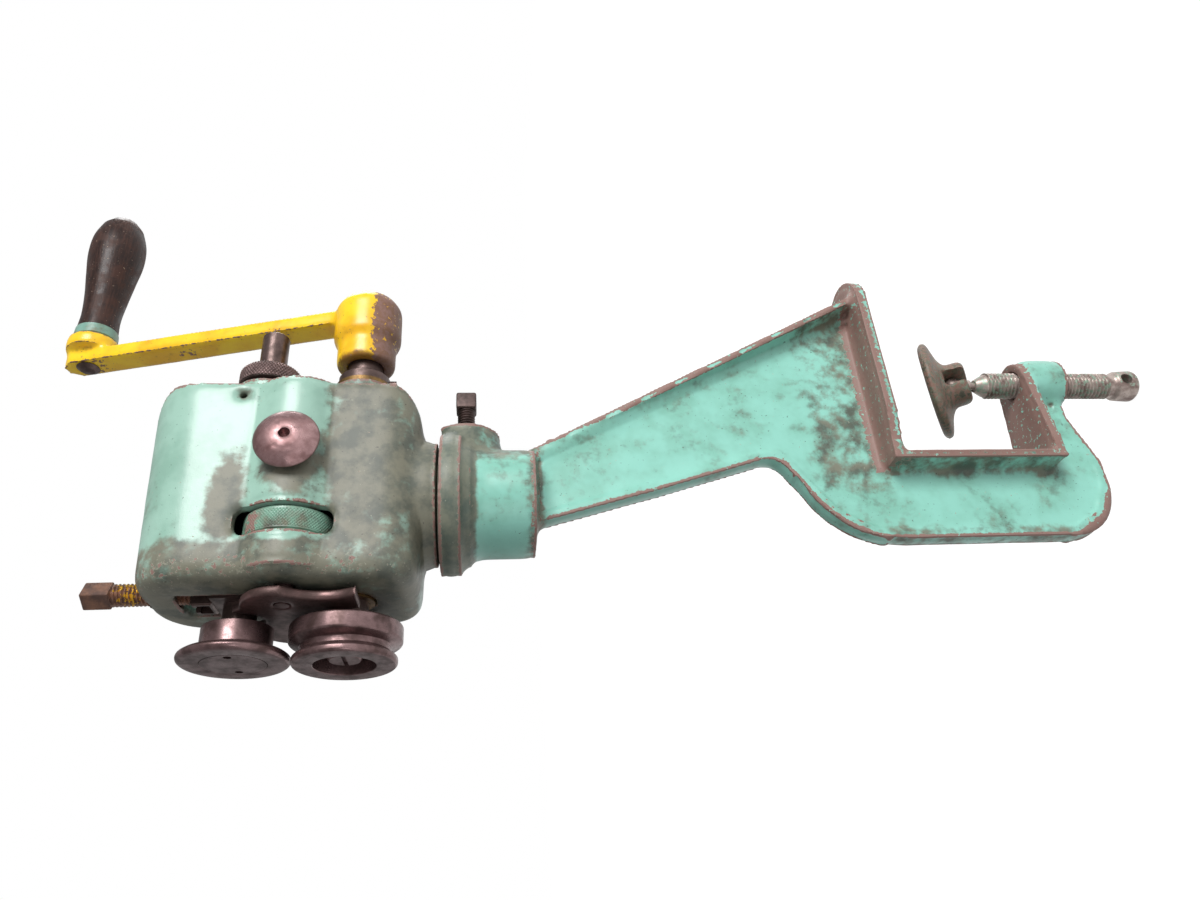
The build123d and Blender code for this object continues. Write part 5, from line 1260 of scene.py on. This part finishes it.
@dataclass
class Rolls:
    """The pair of rolls and the edge gauge behind them.

    Attributes:
        finish: The materials.
        upper_z: Height of the upper shaft.
        lower_z: Height of the lower shaft.
    """

    finish: dict[str, bpy.types.Material]
    upper_z: float = 348.8
    lower_z: float = 298.0

    def build(self) -> None:
        """Builds the rolls with their edges just broken, and the gauge plate."""
        self.upper_roll()
        self.lower_roll()
        plate = soften("gauge_plate", 0.45, 2, 0.04)
        finished("gauge_plate_ground", plate, self.finish["gauge"], "gauge", "roll_steel", "gauge_plate")

    def upper_roll(self) -> None:
        """A thin disc with a rounded rim on a straight hub, recessed for its spanner nut."""
        front, back = (c[1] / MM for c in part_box("upper_roll"))
        rear = front + 5.5
        outline = [(back, 6.4), (back, 16.5), (rear + 1.5, 16.5), (rear, 18.5), (rear - 0.8, 23.6),
                   (rear - 2, 25.3), (rear - 3, 25.7), (front + 1.2, 25.4), (front + 0.3, 24.3),
                   (front, 22.7), (front, 15.1), (front + 4, 15.1), (front + 4, 6.4), (back, 6.4)]
        work = bmesh.new()
        turned(work, rounded(outline, 0.5), place_on(Along.Y, (0, 0, self.upper_z)), 160)
        bmesh.ops.remove_doubles(work, verts=work.verts, dist=1e-6)
        finished("upper_roll_turned", work, self.finish["upper_roll"], "upper_shaft", "roll_steel",
                 "upper_roll")

    def lower_roll(self) -> None:
        """A wide ring and a flange with a groove between them, recessed for its screw."""
        front, back = (c[1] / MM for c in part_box("lower_roll"))
        ring_back, ring_front = front + 19, front + 10.5
        outline = [(back, 8.0), (back, 13), (ring_back, 13), (ring_back, 26), (ring_back - 0.8, 26.8),
                   (ring_front + 0.6, 26.8), (ring_front, 26.2), (ring_front - 2, 21.5), (front + 5.5, 21.5),
                   (front + 4, 23.9), (front + 3.2, 24.7), (front + 0.9, 24.7), (front, 23.8), (front, 14.7),
                   (front + 8, 14.7), (front + 8, 8.0), (back, 8.0)]
        work = bmesh.new()
        turned(work, rounded(outline, 0.55), place_on(Along.Y, (0, 0, self.lower_z)), 160)
        bmesh.ops.remove_doubles(work, verts=work.verts, dist=1e-6)
        finished("lower_roll_turned", work, self.finish["lower_roll"], "crank", "roll_steel", "lower_roll")


@dataclass
class Crank:
    """The yellow crank arm and its turned handle.

    Attributes:
        finish: The materials.
        grip_x: The grip's axis.
        grip_z: The grip's axis.
        neck_radius: Thinnest part of the handle.
        belly_radius: Thickest part.
        collar_radius: Where the wood meets its ferrule.
    """

    finish: dict[str, bpy.types.Material]
    grip_x: float = -43.94
    grip_z: float = 467.91
    neck_radius: float = 11.0
    belly_radius: float = 16.2
    collar_radius: float = 11.5

    def build(self) -> None:
        """Builds the arm and the handle."""
        arm = soften("crank_arm", 0.62, 3, 0.12)
        finished("crank_forging", arm, self.finish["crank"], "crank", "yellow_enamel", "crank_arm")
        self.handle()

    def handle(self) -> None:
        """A swelling handle: a slim neck, a belly past the middle and a blunt round end."""
        low, high = (c[1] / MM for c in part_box("grip_wood"))
        length = high - low
        knots = [(0.0, self.collar_radius), (0.13, self.neck_radius), (0.29, self.neck_radius + 1.2),
                 (0.48, 14.4), (0.64, self.belly_radius), (0.78, 15.7), (0.90, 12.6), (0.965, 8.2),
                 (0.992, 4.2), (1.0, 1.6)]
        outline = [(low, 0)]
        for i, (start, end) in enumerate(zip(knots, knots[1:])):
            before = knots[max(i - 1, 0)]
            after = knots[min(i + 2, len(knots) - 1)]
            for step in range(6):
                t = step / 6
                outline.append((low + length * (start[0] + (end[0] - start[0]) * t),
                                catmull(before[1], start[1], end[1], after[1], t)))
        outline += [(high, knots[-1][1]), (high, 0)]
        work = bmesh.new()
        turned(work, outline, place_on(Along.Y, (self.grip_x, 0, self.grip_z)), 96)
        for vertex in work.verts:
            vertex.co += Vector((1, 0, 1)) * (noise.noise(vertex.co * 60) * 0.12 * MM)
        finished("grip_handle", work, self.finish["wood"], "grip", "dark_wood", "grip_wood")


def catmull(before: float, start: float, end: float, after: float, t: float) -> float:
    """A smooth value between two knots of a row of four."""
    return 0.5 * (2 * start + (end - before) * t + (2 * before - 5 * start + 4 * end - after) * t ** 2
                  + (3 * start - before - 3 * end + after) * t ** 3)


@dataclass
class CarriedOver:
    """Nodes whose shape is right as it is; they only get their finish.

    Attributes:
        finish: The materials.
        finish_of: The finish of each node.
    """

    finish: dict[str, bpy.types.Material]
    finish_of: dict[str, str] = field(default_factory=lambda: {
        "side_cover": "head", "cover_screws": "shaft", "lower_front_bush": "bronze",
        "lower_rear_bush": "bronze", "pivot_bush": "shaft", "upper_block": "shaft", "thrust_pad": "bronze",
        "lower_gear": "gear", "upper_gear": "gear", "lower_gear_key": "shaft", "upper_gear_key": "shaft",
        "lower_shaft": "shaft", "upper_shaft": "shaft", "shaft_collar": "shaft", "collar_screw": "shaft",
        "thrust_washer": "shaft", "lower_roll_screw": "lower_roll", "upper_roll_nut": "upper_roll",
        "gauge_stem": "gauge", "lock_shoe": "bronze", "grip_pin": "shaft", "grip_ferrule": "ferrule",
        "swivel_button": "clamp", "socket_plug": "bronze"})

    def dress(self) -> None:
        """Gives each node its finish."""
        for node, key in self.finish_of.items():
            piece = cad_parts[node]
            for slot in piece.material_slots:
                slot.material = self.finish[key]
            LOG.info("%s: finish %s", node, key)


# ------------------------------------------------------------------ studio
@dataclass
class Studio:
    """A pale floor, soft lamps and the camera at the photograph's angle.

    Attributes:
        position: The camera in millimetres.
        right: The picture's right.
        up: The picture's up.
        back: From the object to the camera.
        lens_mm: Focal length on a 36 mm sensor.
        floor_reach: Half the floor's width in metres.
    """

    position: Triple = (429.8, -290.6, 231.1)
    right: Triple = (0.10554, -0.06959, -0.99198)
    up: Triple = (0.5, 0.86599, -0.00756)
    back: Triple = (0.85957, -0.49519, 0.12620)
    lens_mm: float = 27.0
    floor_reach: float = 6.0

    def build(self) -> None:
        """Builds the camera, the lamps, the floor and the world."""
        scene = bpy.context.scene
        scene.view_settings.view_transform = "Standard"
        data = bpy.data.cameras.new("camera")
        data.lens = self.lens_mm
        data.sensor_width = 36.0
        data.clip_start = 0.01
        camera = bpy.data.objects.new("camera", data)
        turn = Matrix((self.right, self.up, self.back)).transposed().to_4x4()
        camera.matrix_world = Matrix.Translation(Vector(self.position) * MM) @ turn
        scene.collection.objects.link(camera)
        scene.camera = camera
        self.floor()
        self.world()
        middle = Vector((0, -30, 160)) * MM
        up, back, right = (Vector(v) for v in (self.up, self.back, self.right))
        self.lamp("key", middle + up * 2.3 + back * 1.5 - right * 0.7, middle, 1.3, 84)
        self.lamp("fill", middle + back * 2.6 + right * 1.2 - up * 0.3, middle, 1.8, 34)
        self.lamp("rim", middle - back * 1.6 + up * 1.5 - right * 0.8, middle, 1.0, 16)

    def lamp(self, name: str, place: Vector, target: Vector, size: float, power: float) -> None:
        """Adds a square soft lamp that faces a point.

        Args:
            name: Its name.
            place: Where it hangs, in metres.
            target: What it faces.
            size: Its width in metres.
            power: Its power in watts.
        """
        data = bpy.data.lights.new(name, "AREA")
        data.size = size
        data.energy = power
        lamp = bpy.data.objects.new(name, data)
        lamp.location = place
        lamp.rotation_euler = (target - place).to_track_quat("-Z", "Y").to_euler()
        bpy.context.scene.collection.objects.link(lamp)

    def floor(self) -> None:
        """A pale matt floor just under the object, white to the camera and in reflections."""
        low = CAD_BOUNDS[0][2] - 0.5 * MM
        work = bmesh.new()
        corners = [(-1, -1), (1, -1), (1, 1), (-1, 1)]
        reach = self.floor_reach
        work.faces.new([work.verts.new((x * reach, y * reach, low)) for x, y in corners])
        mesh = bpy.data.meshes.new("floor")
        work.to_mesh(mesh)
        work.free()
        material, tree, output = new_material("pale_floor")
        rays = add_node(tree, "ShaderNodeLightPath").outputs
        seen = arithmetic(tree, "MAXIMUM", rays["Is Camera Ray"], rays["Is Glossy Ray"])
        matt = add_node(tree, "ShaderNodeBsdfDiffuse", {"Color": linear("#8A8A8A")})
        glow = add_node(tree, "ShaderNodeEmission", {"Color": (1, 1, 1, 1)},
                        {"Strength": arithmetic(tree, "MULTIPLY", seen, 0.93)})
        both = add_node(tree, "ShaderNodeAddShader", links={0: matt.outputs[0], 1: glow.outputs[0]})
        tree.links.new(both.outputs[0], output.inputs["Surface"])
        mesh.materials.append(material)
        floor = bpy.data.objects.new("floor", mesh)
        bpy.context.scene.collection.objects.link(floor)

    def world(self) -> None:
        """A plain grey-white surround, white where the camera or a transmitted ray sees it."""
        world = bpy.data.worlds.new("studio")
        bpy.context.scene.world = world
        world.use_nodes = True
        tree = world.node_tree
        tree.nodes.clear()
        rays = add_node(tree, "ShaderNodeLightPath").outputs
        seen = arithmetic(tree, "MAXIMUM", rays["Is Camera Ray"], rays["Is Transmission Ray"])
        strength = add_node(tree, "ShaderNodeMapRange", {"To Min": 0.40, "To Max": 1.0}, {"Value": seen})
        sky = add_node(tree, "ShaderNodeBackground", {"Color": (1, 1, 1, 1)},
                       {"Strength": strength.outputs[0]})
        output = add_node(tree, "ShaderNodeOutputWorld")
        tree.links.new(sky.outputs[0], output.inputs["Surface"])


def main() -> None:
    """Builds every sub-assembly in order, then the studio."""
    logging.basicConfig(level=logging.INFO, format="%(name)s %(message)s")
    finish = finishes()
    pattern = TurnedPattern()
    BenchStandard(finish, pattern).build()
    Head(finish, pattern).build()
    Rolls(finish).build()
    Crank(finish).build()
    CarriedOver(finish).dress()
    Studio().build()


if __name__ == "__main__":
    main()
